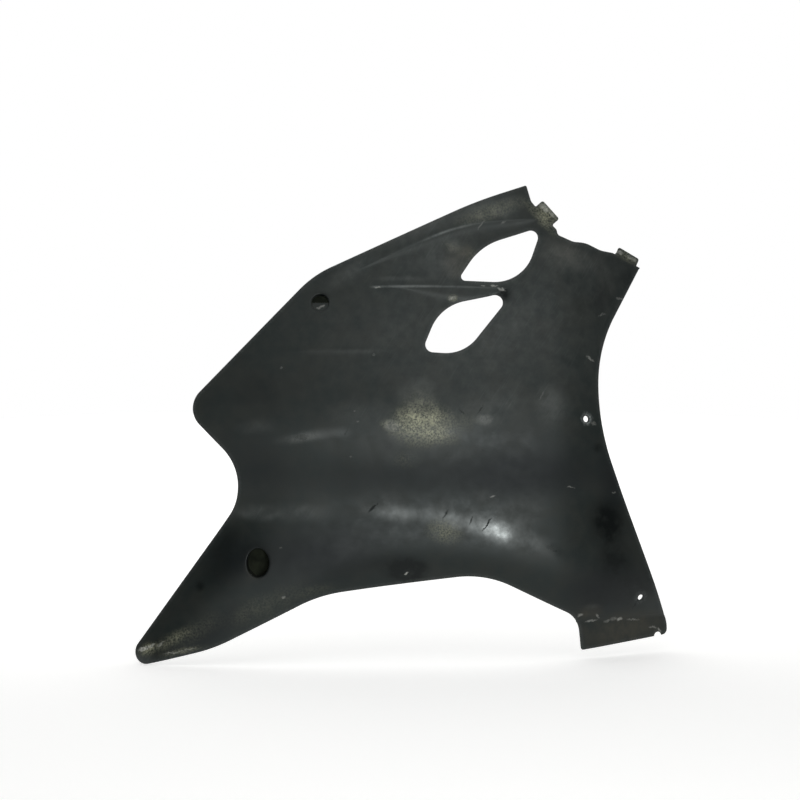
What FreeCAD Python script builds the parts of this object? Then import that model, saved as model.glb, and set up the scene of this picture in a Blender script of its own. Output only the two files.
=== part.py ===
import FreeCAD, Part
import math
import os

# Right-hand fairing side panel of a road motorbike: one moulded skin with two rearward
# air outlets, screw wells, two front screw holes, a lap flange and two edge tongues.
# +X is forward, +Z is up and the visible face looks towards -Y. The origin is the middle
# of the lower rear well's floor. Lengths are millimetres and angles are degrees.

Vector = FreeCAD.Vector

SIZES = {
    # moulding
    "wall": 3.0,
    "form_depth": 260.0,
    "skin_margin": 14.0,
    "station_pitch_x": 28.0,
    "station_pitch_z": 20.0,
    # long crease lines of the skin, from the top down
    "upper_lean_angle": 10.0,
    "crest_z": 145.0,
    "crest_blend": 14.0,
    "under_crest_lean_angle": 10.0,
    "valley_z": 72.0,
    "valley_turn_angle": 13.0,
    "valley_blend": 8.0,
    # belly, which tucks in along the lower edge
    "belly_turn_angle": 32.0,
    "belly_blend": 10.0,
    "belly_front_x": 273.0,
    "belly_front_fall_angle": 12.0,
    "belly_mid_x": 104.0,
    "belly_mid_rise_angle": 7.4,
    "tail_under_turn_angle": 14.0,
    "tail_under_x": 25.0,
    "tail_under_z": -30.0,
    "tail_under_rise_angle": 26.8,
    "tail_fade_length": 150.0,
    # tail shoulder along the upper edge of the tail
    "tail_shoulder_turn_angle": 34.0,
    "tail_shoulder_width": 30.0,
    "tail_shoulder_blend": 9.0,
    "tail_shoulder_top_z": 85.0,
    "tail_shoulder_fade": 55.0,
    # roll towards the front and the slight crown of the flank
    "front_roll_x": 362.0,
    "front_turn_angle": 30.0,
    "front_blend": 15.0,
    "crown_x": 190.0,
    "crown_turn_angle": 4.6,
    "crown_blend": 60.0,
    "rear_x": 20.0,
    "rear_turn_angle": 4.6,
    "rear_blend": 40.0,
    # outline corners: place and corner radius
    "top_corner_x": 309.7,
    "top_corner_z": 436.9,
    "top_corner_round": 1.7,
    "brow_x": 250.2,
    "brow_z": 416.9,
    "brow_round": 600.0,
    "shoulder_x": 62.0,
    "shoulder_z": 329.1,
    "shoulder_round": 119.0,
    "rear_nose_x": -84.6,
    "rear_nose_z": 175.9,
    "rear_nose_round": 26.7,
    "waist_x": -4.6,
    "waist_z": 94.2,
    "waist_round": 60.3,
    "tail_tip_x": -162.5,
    "tail_tip_z": -125.8,
    "tail_tip_round": 13.5,
    "tail_heel_x": -50.7,
    "tail_heel_z": -98.2,
    "tail_heel_round": 185.0,
    "sill_rear_x": 70.2,
    "sill_rear_z": -37.7,
    "sill_rear_round": 152.0,
    "sill_arch_x": 259.9,
    "sill_arch_z": -14.1,
    "sill_arch_round": 110.0,
    "lap_corner_x": 370.0,
    "lap_corner_z": -69.0,
    "lap_corner_round": 30.0,
    "front_waist_x": 391.9,
    "front_waist_z": 153.5,
    "front_waist_round": 234.0,
    "front_neck_x": 391.9,
    "front_neck_z": 244.5,
    "front_neck_round": 166.0,
    # lap flange corners, each by its run forward and drop from the corner before
    "lap_heel_run": 3.9,
    "lap_heel_drop": 39.1,
    "lap_heel_round": 3.0,
    "lap_toe_run": 111.2,
    "lap_toe_drop": -10.2,
    "lap_toe_round": 6.6,
    "front_foot_run": -0.1,
    "front_foot_drop": -14.6,
    "front_foot_round": 45.0,
    # upper front edge corners, each by its run forward and drop from the corner before
    "notch_run": 5.4,
    "notch_drop": 19.6,
    "notch_round": 11.0,
    "step_high_run": 29.7,
    "step_high_drop": 33.1,
    "step_high_round": 4.5,
    "step_low_run": 1.1,
    "step_low_drop": 6.0,
    "step_low_round": 5.6,
    "scallop_rear_run": 18.4,
    "scallop_rear_drop": 7.6,
    "scallop_rear_round": 18.0,
    "scallop_mid_run": 15.6,
    "scallop_mid_drop": 0.6,
    "scallop_mid_round": 35.0,
    "scallop_front_run": 18.9,
    "scallop_front_drop": 8.0,
    "scallop_front_round": 32.0,
    "tongue_root_run": 16.6,
    "tongue_root_drop": 1.9,
    "tongue_root_round": 22.0,
    "front_top_run": 34.3,
    "front_top_drop": 16.5,
    "front_top_round": 2.3,
    # air outlets: rear tip, then the other corners by run forward and rise from that tip
    "upper_vent_tip_x": 228.3,
    "upper_vent_tip_z": 323.3,
    "upper_vent_tip_round": 4.9,
    "upper_vent_brow_run": 27.5,
    "upper_vent_brow_rise": 41.3,
    "upper_vent_brow_round": 101.5,
    "upper_vent_nose_run": 99.3,
    "upper_vent_nose_rise": 64.2,
    "upper_vent_nose_round": 8.4,
    "upper_vent_sill_run": 75.5,
    "upper_vent_sill_rise": -3.0,
    "upper_vent_sill_round": 67.6,
    "lower_vent_tip_x": 186.7,
    "lower_vent_tip_z": 240.6,
    "lower_vent_tip_round": 8.9,
    "lower_vent_brow_run": 21.9,
    "lower_vent_brow_rise": 53.3,
    "lower_vent_brow_round": 67.6,
    "lower_vent_nose_run": 107.2,
    "lower_vent_nose_rise": 70.6,
    "lower_vent_nose_round": 9.0,
    "lower_vent_sill_run": 48.0,
    "lower_vent_sill_rise": -3.1,
    "lower_vent_sill_round": 67.6,
    # scoops behind the outlets: how far each plane starts from the outlet's rear tip
    "tool_reach": 420.0,
    "scoop_ramp_angle": 9.0,
    "scoop_floor_angle": 11.3,
    "scoop_wall_angle": 45.0,
    "scoop_end_set_in": 5.0,
    "upper_scoop_lead": 130.0,
    "upper_scoop_brow_rise": 65.0,
    "upper_scoop_brow_slope_angle": 23.5,
    "upper_scoop_crown_rise": 68.5,
    "upper_scoop_crown_slope_angle": 4.0,
    "lower_scoop_lead": 52.6,
    "lower_scoop_blade_rise": 75.6,
    # screw wells at the rear
    "lower_well_depth": 16.0,
    "lower_well_width": 25.5,
    "lower_well_height": 33.0,
    "lower_well_hole_radius": 4.5,
    "upper_well_x": 70.0,
    "upper_well_z": 297.0,
    "upper_well_radius": 10.0,
    "upper_well_depth": 3.6,
    "upper_well_tilt_angle": 22.0,
    "upper_well_hole_radius": 3.25,
    # screw holes of the front edge
    "edge_hole_x": 376.0,
    "edge_hole_z": 163.5,
    "edge_hole_radius": 3.6,
    "edge_hole_seat_radius": 5.9,
    "edge_hole_seat_depth": 0.6,
    "foot_hole_x": 447.5,
    "foot_hole_z": -49.3,
    "foot_hole_radius": 3.3,
    "foot_hole_seat_radius": 5.6,
    "foot_hole_seat_depth": 0.4,
    # lap flange below the fold line, and the nick in its lower edge
    "fold_z": -73.7,
    "fold_overlap": 2.0,
    "flange_set_back": 0.8,
    "nick_from_toe": 12.5,
    "nick_radius": 4.6,
    # tongues on the upper front edge
    "tongue_set_back": 1.2,
    "tongue_thickness": 2.4,
    "tongue_overlap": 7.0,
    "tongue_round": 2.5,
    "upper_tongue_start": 8.0,
    "upper_tongue_length": 29.0,
    "upper_tongue_reach": 11.5,
    "front_tongue_start": 3.5,
    "front_tongue_length": 30.0,
    "front_tongue_reach": 10.5,
}

os.makedirs("parts", exist_ok=True)
doc = FreeCAD.newDocument("fairing_side_panel")
sheet = doc.addObject("Spreadsheet::Sheet", "sizes")
for row, (alias, value) in enumerate(SIZES.items(), start=1):
    sheet.set(f"A{row}", alias.replace("_", " "))
    sheet.set(f"B{row}", str(value))
    sheet.setAlias(f"B{row}", alias)
doc.recompute()


def size(alias):
    """A driving dimension, read from the sheet."""
    return float(sheet.get(alias))


def slope(alias):
    """The tangent of an angle kept in the sheet."""
    return math.tan(math.radians(size(alias)))


def bind(obj, **cells):
    """Tie the object's properties to cells of the sheet."""
    for prop, cell in cells.items():
        obj.setExpression(prop, f"sizes.{cell}")
    return obj


def soft_ramp(distance, blend):
    """Zero before a crease and the distance itself after it, rounded over the blend width."""
    ratio = distance / blend
    return blend * (max(ratio, 0.0) + math.log1p(math.exp(-abs(ratio))))


def ease(share):
    """A smooth step from 0 to 1."""
    share = min(max(share, 0.0), 1.0)
    return share * share * (3.0 - 2.0 * share)


def corner(name):
    """An outline corner that is placed by itself."""
    return (size(name + "_x"), size(name + "_z"), size(name + "_round"))


def chained_corners(start, names):
    """Corners that are each placed by run and drop from the corner before."""
    x, z = start[:2]
    chain = []
    for name in names:
        x += size(name + "_run")
        z -= size(name + "_drop")
        chain.append((x, z, size(name + "_round")))
    return chain


REAR_NAMES = ("top_corner", "brow", "shoulder", "rear_nose", "waist", "tail_tip",
              "tail_heel", "sill_rear", "sill_arch", "lap_corner")
LAP_NAMES = ("lap_heel", "lap_toe", "front_foot")
EDGE_NAMES = ("notch", "step_high", "step_low", "scallop_rear", "scallop_mid",
              "scallop_front", "tongue_root", "front_top")

rear_corners = [corner(name) for name in REAR_NAMES]
lap_corners = chained_corners(rear_corners[-1], LAP_NAMES)
edge_corners = chained_corners(rear_corners[0], EDGE_NAMES)
front_corners = [corner("front_waist"), corner("front_neck")]
outline_corners = rear_corners + lap_corners + front_corners + edge_corners[::-1]


def below_line(x, z, line_x, line_z, rise):
    """Distance below a line through a point that rises forward at an angle."""
    angle = math.radians(rise)
    return math.sin(angle) * (x - line_x) - math.cos(angle) * (z - line_z)


def belly_distance(x, z):
    """Smooth least of the distances below the belly's three lines."""
    blend = size("belly_blend")
    lines = (
        below_line(x, z, size("belly_front_x"), 0.0, -size("belly_front_fall_angle")),
        below_line(x, z, size("belly_mid_x"), 0.0, size("belly_mid_rise_angle")),
        below_line(x, z, size("tail_under_x"), size("tail_under_z"), size("tail_under_rise_angle")),
    )
    least = min(lines)
    return least - blend * math.log(sum(math.exp((least - line) / blend) for line in lines))


def tail_distance(x, z):
    """Distance past the shoulder line that runs beside the tail's upper edge."""
    waist, tip = corner("waist"), corner("tail_tip")
    run, drop = tip[0] - waist[0], tip[1] - waist[1]
    length = math.hypot(run, drop)
    beyond_edge = (drop * (x - waist[0]) - run * (z - waist[1])) / length
    return beyond_edge + size("tail_shoulder_width")


def crease_sum(x, z):
    """How far the creases carry the skin outwards, from an unbent sheet."""
    above_crest = z - size("crest_z")
    crest_blend = size("crest_blend")
    belly_turn = slope("tail_under_turn_angle")
    belly_turn += (slope("belly_turn_angle") - belly_turn) * ease(x / size("tail_fade_length"))
    tail_share = ease((size("tail_shoulder_top_z") - z) / size("tail_shoulder_fade"))
    tail_turn = slope("tail_shoulder_turn_angle") * tail_share
    reach = -slope("upper_lean_angle") * soft_ramp(above_crest, crest_blend)
    reach -= slope("under_crest_lean_angle") * soft_ramp(-above_crest, crest_blend)
    reach += slope("valley_turn_angle") * soft_ramp(size("valley_z") - z, size("valley_blend"))
    reach -= belly_turn * soft_ramp(belly_distance(x, z), size("belly_blend"))
    reach -= tail_turn * soft_ramp(tail_distance(x, z), size("tail_shoulder_blend"))
    reach -= slope("front_turn_angle") * soft_ramp(x - size("front_roll_x"), size("front_blend"))
    reach -= slope("crown_turn_angle") * soft_ramp(x - size("crown_x"), size("crown_blend"))
    reach -= slope("rear_turn_angle") * soft_ramp(size("rear_x") - x, size("rear_blend"))
    return reach


WELL_LEVEL = size("lower_well_depth") - crease_sum(0.0, 0.0)


def skin_y(x, z):
    """Y of the visible face."""
    return -(crease_sum(x, z) + WELL_LEVEL)


# half the distance over which the skin's slope is taken
SLOPE_STEP = 0.5


def skin_normal(x, z):
    """Outward unit normal of the visible face."""
    along_x = (skin_y(x + SLOPE_STEP, z) - skin_y(x - SLOPE_STEP, z)) / (2.0 * SLOPE_STEP)
    along_z = (skin_y(x, z + SLOPE_STEP) - skin_y(x, z - SLOPE_STEP)) / (2.0 * SLOPE_STEP)
    return Vector(along_x, -1.0, along_z).normalize()


def skin_point(x, z, set_back=0.0):
    """A point of the visible face, moved inwards along the normal."""
    return Vector(x, skin_y(x, z), z) - skin_normal(x, z) * set_back


# fewest steps that a smooth curve is drawn through
LEAST_STEPS = 4


def stations(low, high, pitch):
    """Even stations from low to high, at about the pitch."""
    count = max(LEAST_STEPS, round((high - low) / pitch))
    return [low + (high - low) * index / count for index in range(count + 1)]


def skin_face(name, set_back):
    """The skin, or a layer of it set back along its normals, as one smooth face."""
    margin = size("skin_margin")
    spread_x = [point[0] for point in outline_corners]
    spread_z = [point[1] for point in outline_corners]
    reach = max(size("upper_tongue_reach"), size("front_tongue_reach")) + margin
    columns = stations(min(spread_x) - margin, max(spread_x) + margin, size("station_pitch_x"))
    rows = stations(min(spread_z) - margin, max(spread_z) + reach, size("station_pitch_z"))
    surface = Part.BSplineSurface()
    surface.interpolate([[skin_point(x, z, set_back) for z in rows] for x in columns])
    face = doc.addObject("Part::Feature", name)
    face.Shape = surface.toShape()
    return face


# share of a straight run that one corner arc may take
RUN_SHARE = 0.49


def rounded_wire(corners):
    """Closed wire in the XZ plane: straight runs joined by tangent arcs at the corners."""
    count = len(corners)
    arcs = []
    for index, (x, z, radius) in enumerate(corners):
        here = Vector(x, 0, z)
        before_x, before_z, _ = corners[index - 1]
        after_x, after_z, _ = corners[(index + 1) % count]
        before = Vector(before_x, 0, before_z) - here
        after = Vector(after_x, 0, after_z) - here
        half = before.getAngle(after) / 2.0
        run = min(radius / math.tan(half), RUN_SHARE * before.Length, RUN_SHARE * after.Length)
        before.normalize()
        after.normalize()
        bisector = (before + after).normalize()
        middle = here + bisector * (run / math.cos(half) - run * math.tan(half))
        arcs.append((here + before * run, middle, here + after * run))
    edges = []
    for index, (start, middle, end) in enumerate(arcs):
        edges.append(Part.Arc(start, middle, end).toShape())
        edges.append(Part.LineSegment(end, arcs[(index + 1) % count][0]).toShape())
    return Part.Wire(edges)


def plan_profile(name, corners):
    """A flat face in the XZ plane from rounded corners."""
    profile = doc.addObject("Part::Feature", name)
    profile.Shape = Part.Face(rounded_wire(corners))
    return profile


def extrusion(name, base, direction, forward, backward=None):
    """A solid swept from a profile, with its lengths tied to the sheet."""
    block = doc.addObject("Part::Extrusion", name)
    block.Base = base
    block.DirMode = "Custom"
    block.Dir = direction
    block.Solid = True
    bind(block, LengthFwd=forward)
    if backward:
        bind(block, LengthRev=backward)
    return block


def through_block(name, corners):
    """A plan outline carried right through the panel's depth."""
    return extrusion(name, plan_profile(name + "_plan", corners), Vector(0, 1, 0),
                     "form_depth", "form_depth")


def boolean(kind, name, base, tool):
    """A boolean of two document objects."""
    result = doc.addObject(kind, name)
    result.Base = base
    result.Tool = tool
    return result


def cut(name, base, tool):
    return boolean("Part::Cut", name, base, tool)


def common(name, base, tool):
    return boolean("Part::Common", name, base, tool)


def fuse(name, pieces):
    result = doc.addObject("Part::MultiFuse", name)
    result.Shapes = pieces
    return result


def skin_block(name, set_back):
    """Everything behind a layer of the skin."""
    return extrusion(name, skin_face(name + "_face", set_back), Vector(0, 1, 0), "form_depth")


def vent_corners(name):
    """The four rounded corners of an air outlet."""
    x, z, tip_round = corner(name + "_vent_tip")
    corners = [(x, z, tip_round)]
    for part in ("brow", "nose", "sill"):
        stem = f"{name}_vent_{part}"
        corners.append((x + size(stem + "_run"), z + size(stem + "_rise"), size(stem + "_round")))
    return corners


def front_side(name, point, fall, angle, growth):
    """A block in front of a plane that dips below the skin from a point, along a direction."""
    normal = skin_normal(*point)
    dip = math.tan(math.radians(angle))
    outward = Vector(dip * fall[0] - normal.x / normal.y, -1.0, dip * fall[1] - normal.z / normal.y)
    outward.normalize()
    turn = FreeCAD.Rotation(Vector(0, 0, 1), outward)
    half = size("tool_reach") / 2.0
    block = doc.addObject("Part::Box", name)
    bind(block, Length="tool_reach", Width="tool_reach", Height="tool_reach")
    middle = skin_point(*point) - outward * growth
    block.Placement = FreeCAD.Placement(middle - turn.multVec(Vector(half, half, 0)), turn)
    return block


def scoop(vent, walls, layer, growth):
    """The hollow behind an air outlet: all that lies in front of its floor, ramp and walls."""
    tip, _, nose, sill = vent_corners(vent)
    front_run, front_rise = nose[0] - sill[0], nose[1] - sill[1]
    front_length = math.hypot(front_run, front_rise)
    wall_angle = size("scoop_wall_angle")
    lead_x = tip[0] - size(vent + "_scoop_lead")
    planes = [
        ("ramp", (lead_x, tip[1]), (1.0, 0.0), size("scoop_ramp_angle")),
        ("floor", tip[:2], (0.0, 1.0), size("scoop_floor_angle")),
        ("front", nose[:2], (-front_rise / front_length, front_run / front_length), wall_angle),
        ("end", (nose[0] - size("scoop_end_set_in"), nose[1]), (-1.0, 0.0), wall_angle),
    ]
    for wall_name, rise, angle in walls:
        fall = (math.sin(math.radians(angle)), -math.cos(math.radians(angle)))
        planes.append((wall_name, (tip[0], tip[1] + rise), fall, wall_angle))
    stem = f"{vent}_scoop_{layer}"
    hollow = doc.addObject("Part::MultiCommon", stem)
    hollow.Shapes = [front_side(f"{stem}_{name}", point, fall, angle, growth)
                     for name, point, fall, angle in planes]
    return hollow


def scoops(layer, growth):
    """Both hollows, for the visible face or, grown by the wall, for the hidden face."""
    upper_walls = [
        ("brow", size("upper_scoop_brow_rise"), size("upper_scoop_brow_slope_angle")),
        ("crown", size("upper_scoop_crown_rise"), size("upper_scoop_crown_slope_angle")),
    ]
    lower_walls = [("blade", size("lower_scoop_blade_rise"), 0.0)]
    return fuse("scoops_" + layer, [scoop("upper", upper_walls, layer, growth),
                                    scoop("lower", lower_walls, layer, growth)])


def skin_shell(front, outline):
    """The moulded skin with its scoops, trimmed to the outline and at the flange's fold."""
    core = skin_block("core", size("wall"))
    solid = common("panel_blank", front, outline)
    solid = cut("scooped_blank", solid, scoops("front", 0.0))
    hollow = cut("scooped_core", core, scoops("back", size("wall")))
    shell = cut("skin_shell", solid, hollow)
    below_fold = doc.addObject("Part::Box", "below_fold")
    bind(below_fold, Length="form_depth", Height="form_depth")
    below_fold.setExpression("Width", "2 * sizes.form_depth")
    below_fold.setExpression("Placement.Base.x", "sizes.lap_corner_x - sizes.lap_heel_drop")
    below_fold.setExpression("Placement.Base.y", "-sizes.form_depth")
    below_fold.setExpression("Placement.Base.z", "sizes.fold_z - sizes.form_depth")
    return cut("trimmed_shell", shell, below_fold)


def lap_flange(outline):
    """The strip below the fold: the skin's section there, carried straight down."""
    level = size("fold_z")
    margin = size("skin_margin")
    columns = stations(lap_corners[0][0] - margin, lap_corners[-1][0] + margin, margin)
    top = level + size("fold_overlap")
    set_back = size("flange_set_back")
    outer = []
    inner = []
    for x in columns:
        across = skin_normal(x, level)
        inward = Vector(-across.x, -across.y, 0).normalize()
        front = Vector(x, skin_y(x, level) + set_back, top)
        outer.append(front)
        inner.append(front + inward * size("wall"))
    curves = []
    for points in (outer, inner):
        curve = Part.BSplineCurve()
        curve.interpolate(points)
        curves.append(curve.toShape())
    ends = [Part.LineSegment(outer[0], inner[0]).toShape(),
            Part.LineSegment(outer[-1], inner[-1]).toShape()]
    section = doc.addObject("Part::Feature", "flange_section")
    section.Shape = Part.Face(Part.Wire(Part.__sortEdges__(curves + ends)))
    strip = extrusion("flange_strip", section, Vector(0, 0, -1), "form_depth")
    return common("lap_flange", strip, outline)


def tongue(name, start_corner, end_corner, front, core):
    """A thin plate that carries on the skin past its edge, set back from the visible face."""
    start = Vector(start_corner[0], 0, start_corner[1])
    along = Vector(end_corner[0], 0, end_corner[1]) - start
    along.normalize()
    out = Vector(-along.z, 0, along.x)
    first = size(name + "_start")
    last = first + size(name + "_length")
    places = ((first, -size("tongue_overlap")), (first, size(name + "_reach")),
              (last, size(name + "_reach")), (last, -size("tongue_overlap")))
    points = [start + along * run + out * reach for run, reach in places]
    plan = through_block(name + "_block", [(p.x, p.z, size("tongue_round")) for p in points])
    return cut(name, common(name + "_plate", plan, front), core)


def drill(name, foot, axis, radius, length):
    """A cylinder from a foot point along an axis, with its radius and length tied to the sheet."""
    rod = doc.addObject("Part::Cylinder", name)
    rod.setExpression("Radius", radius)
    rod.setExpression("Height", length)
    rod.Placement = FreeCAD.Placement(foot, FreeCAD.Rotation(Vector(0, 0, 1), axis))
    return rod


def lower_well(front):
    """The upright oval well: its boss behind the skin, and what is cut from it."""
    half_width = size("lower_well_width") / 2.0
    half_height = size("lower_well_height") / 2.0
    wall = size("wall")

    def oval(growth):
        wide, tall = half_width + growth, half_height + growth
        return [(x, z, wide) for x, z in ((-wide, -tall), (-wide, tall), (wide, tall), (wide, -tall))]

    stock = extrusion("lower_well_stock", plan_profile("lower_well_boss_plan", oval(wall)),
                      Vector(0, 1, 0), "wall", "form_depth")
    hollow = extrusion("lower_well_hollow", plan_profile("lower_well_plan", oval(0.0)),
                       Vector(0, -1, 0), "form_depth")
    hole = drill("lower_well_hole", Vector(0, -wall, 0), Vector(0, 1, 0),
                 "sizes.lower_well_hole_radius", "3 * sizes.wall")
    return common("lower_well_boss", stock, front), [hollow, hole]


def upper_well(front):
    """The round well that faces up a little: its boss, and what is cut from it."""
    wall = size("wall")
    tilt = math.radians(size("upper_well_tilt_angle"))
    outward = Vector(0, -math.cos(tilt), math.sin(tilt))
    floor = skin_point(size("upper_well_x"), size("upper_well_z")) - outward * size("upper_well_depth")
    reach = "2 * sizes.upper_well_radius"
    stock = drill("upper_well_stock", floor - outward * wall, outward,
                  "sizes.upper_well_radius + sizes.wall", reach)
    hollow = drill("upper_well_hollow", floor, outward, "sizes.upper_well_radius", reach)
    hole = drill("upper_well_hole", floor - outward * 2.0 * wall, outward,
                 "sizes.upper_well_hole_radius", reach)
    return common("upper_well_boss", stock, front), [hollow, hole]


def screw_hole(name):
    """A hole square to the skin, with a shallow flat seat round its mouth."""
    place = (size(name + "_x"), size(name + "_z"))
    outward = skin_normal(*place)
    mouth = skin_point(*place)
    reach = "4 * sizes.wall"
    hole = drill(name + "_bore", mouth - outward * 2.0 * size("wall"), outward,
                 f"sizes.{name}_radius", reach)
    seat = drill(name + "_seat", mouth - outward * size(name + "_seat_depth"), outward,
                 f"sizes.{name}_seat_radius", reach)
    return [hole, seat]


def edge_nick():
    """The half-round nick in the flange's lower edge, near its toe."""
    heel, toe = (Vector(x, 0, z) for x, z, _ in lap_corners[:2])
    place = toe + (heel - toe).normalize() * size("nick_from_toe")
    return drill("edge_nick", place - Vector(0, size("form_depth"), 0), Vector(0, 1, 0),
                 "sizes.nick_radius", "2 * sizes.form_depth")


def side_panel():
    """The whole moulding: skin, flange, tongues and wells, less its openings."""
    outline = through_block("outline", outline_corners)
    front = skin_block("front", 0.0)
    lap_front = skin_block("lap_front", size("tongue_set_back"))
    lap_core = skin_block("lap_core", size("tongue_set_back") + size("tongue_thickness"))
    notch, step_high = edge_corners[:2]
    tongue_root, front_top = edge_corners[-2:]
    lower_boss, lower_cuts = lower_well(front)
    upper_boss, upper_cuts = upper_well(front)
    body = fuse("panel_body", [
        skin_shell(front, outline),
        lap_flange(outline),
        tongue("upper_tongue", notch, step_high, lap_front, lap_core),
        tongue("front_tongue", tongue_root, front_top, lap_front, lap_core),
        lower_boss,
        upper_boss,
    ])
    vents = [through_block(vent + "_vent", vent_corners(vent)) for vent in ("upper", "lower")]
    openings = fuse("openings", vents + lower_cuts + upper_cuts + screw_hole("edge_hole")
                    + screw_hole("foot_hole") + [edge_nick()])
    panel = cut("panel", body, openings)
    panel.Label = "side_panel"
    return panel


panel = side_panel()
doc.recompute()

failed = [obj.Label for obj in doc.Objects if "Invalid" in obj.State or "Error" in obj.State]
if failed:
    raise RuntimeError("not built: " + ", ".join(failed))
if panel.Shape.isNull() or not panel.Shape.isValid() or len(panel.Shape.Solids) != 1:
    raise RuntimeError("side_panel is not one valid solid")
panel.Shape.exportStep(f"parts/{panel.Label}.step")
box = panel.Shape.BoundBox
print(panel.Label, "solids", len(panel.Shape.Solids), "volume", round(panel.Shape.Volume), "mm3")
print("x", round(box.XMin, 1), round(box.XMax, 1), "y", round(box.YMin, 1), round(box.YMax, 1),
      "z", round(box.ZMin, 1), round(box.ZMax, 1))
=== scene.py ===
# %% [markdown]
# # A worn fairing side panel
# The object is one moulding: a black ABS skin from the flank of a road motorbike, with two
# air outlets, two screw wells, two screw holes, a lap flange and two small edge tongues.
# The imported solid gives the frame: +X is forward, +Z is up and the visible face looks
# towards -Y. All sizes below are millimetres until the mesh is written, in metres.

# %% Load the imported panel
import bmesh
import bpy
import numpy as np
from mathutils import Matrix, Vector
from mathutils.geometry import delaunay_2d_cdt


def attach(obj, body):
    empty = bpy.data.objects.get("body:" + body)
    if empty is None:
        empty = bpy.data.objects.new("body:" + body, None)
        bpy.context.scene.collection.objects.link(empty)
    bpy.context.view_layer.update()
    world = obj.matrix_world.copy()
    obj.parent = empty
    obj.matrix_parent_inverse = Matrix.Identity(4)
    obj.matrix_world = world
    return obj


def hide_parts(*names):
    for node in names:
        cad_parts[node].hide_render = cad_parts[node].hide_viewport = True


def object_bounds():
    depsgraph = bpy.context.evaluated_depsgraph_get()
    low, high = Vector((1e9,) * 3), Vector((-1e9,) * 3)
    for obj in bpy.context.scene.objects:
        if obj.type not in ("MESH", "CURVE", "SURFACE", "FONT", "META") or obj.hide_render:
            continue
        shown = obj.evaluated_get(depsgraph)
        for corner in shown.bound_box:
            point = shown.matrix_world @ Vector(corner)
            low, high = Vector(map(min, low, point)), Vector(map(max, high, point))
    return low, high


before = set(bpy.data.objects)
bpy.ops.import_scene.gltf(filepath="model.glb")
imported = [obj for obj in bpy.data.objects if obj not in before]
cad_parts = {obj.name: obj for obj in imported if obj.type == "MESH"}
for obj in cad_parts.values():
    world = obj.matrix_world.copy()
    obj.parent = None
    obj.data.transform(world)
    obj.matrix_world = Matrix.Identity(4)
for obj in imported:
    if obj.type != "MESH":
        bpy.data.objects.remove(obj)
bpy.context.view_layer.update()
MM = 0.001

# %% [markdown]
# ## Camera
# The photograph looks straight at the flank from about 1.6 m, so that is where the camera
# stands. The lens follows from the size of a photograph pixel on the panel's crest.

# %% Camera
PHOTO_PIXELS = 800
PIXEL_ON_CREST = 1.1275
CREST_DISTANCE = 1600.0
CAMERA_PLACE = (161.7, -1628.6, 185.2)
SENSOR_WIDTH = 36.0

camera_data = bpy.data.cameras.new("photo_camera")
camera_data.sensor_width = SENSOR_WIDTH
camera_data.lens = SENSOR_WIDTH * CREST_DISTANCE / (PHOTO_PIXELS * PIXEL_ON_CREST)
camera = bpy.data.objects.new("photo_camera", camera_data)
camera.location = [v * MM for v in CAMERA_PLACE]
camera.rotation_euler = (np.pi / 2, 0.0, 0.0)
bpy.context.scene.collection.objects.link(camera)
bpy.context.scene.camera = camera
print("lens in mm:", round(camera_data.lens, 2))

# %% [markdown]
# ## The skin
# A fairing skin is a sheet with long soft creases. A modeller could push points of a grid
# about, but a formula is exact and smooth at any grid size: each crease adds a ramp that is
# zero on one side of a line and rises at a fixed slope on the other, rounded in between.
# A lean is a slope in degrees, and a blend is the width over which the crease is rounded.

# %% Soft steps and ramps
def tan_of(degrees):
    """Rise over run of a slope in degrees."""
    return np.tan(np.radians(degrees))


def soft_ramp(distance, blend):
    """Zero before a crease and the distance itself after it, rounded over the blend width."""
    return blend * np.logaddexp(0.0, distance / blend)


def soft_least(values, blend):
    """The least of several values, rounded where two of them meet."""
    return -blend * np.logaddexp.reduce([-v / blend for v in values])


def ease(share):
    """A smooth step from 0 to 1: three squares less two cubes."""
    share = np.clip(share, 0.0, 1.0)
    return share * share * (3.0 - 2.0 * share)


def below_line(x, z, line_x, line_z, rise):
    """Distance below a line through a point that rises forward at an angle."""
    angle = np.radians(rise)
    return np.sin(angle) * (x - line_x) - np.cos(angle) * (z - line_z)


print("a soft ramp of blend 10 at its crease, in mm:", round(float(soft_ramp(0.0, 10.0)), 2))

# %% [markdown]
# The crest and the front roll turn the skin away from the eye, the valley turns it back, and
# the belly and the tail's shoulder curl it in at the bottom. The belly's line is bent, so it
# is the least of three straight ones, and it leans less towards the tail. A bead, less than
# half a millimetre high, crosses the flank behind the lower outlet.

# %% The long creases
CREST_Z, CREST_LEAN, CREST_BLEND = 145.0, 10.0, 14.0
VALLEY_Z, VALLEY_LEAN, VALLEY_BLEND = 72.0, 13.0, 8.0
FRONT_ROLL_X, FRONT_ROLL_LEAN, FRONT_ROLL_BLEND = 362.0, 30.0, 15.0
CROWN_LEAN, CROWN_X, CROWN_BLEND, REAR_X, REAR_BLEND = 4.6, 190.0, 60.0, 20.0, 40.0
BELLY_LINES = [(273.0, 0.0, -12.0), (104.0, 0.0, 7.4), (25.0, -30.0, 26.8)]
BELLY_LEAN, BELLY_TAIL_LEAN, BELLY_FADE, BELLY_BLEND = 32.0, 14.0, 150.0, 10.0
WAIST, TAIL_TIP = np.array((-4.6, 94.2)), np.array((-162.5, -125.8))
TAIL_ALONG = (TAIL_TIP - WAIST) / np.linalg.norm(TAIL_TIP - WAIST)
SHOULDER_WIDTH, SHOULDER_LEAN, SHOULDER_BLEND = 30.0, 34.0, 9.0
SHOULDER_TOP_Z, SHOULDER_FADE = 85.0, 55.0
BEAD_Z, BEAD_WIDTH, BEAD_HEIGHT = 241.5, 3.2, 0.42
BEAD_START_X, BEAD_START_FADE, BEAD_END_X, BEAD_END_FADE = 10.0, 40.0, 185.0, 80.0
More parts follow.
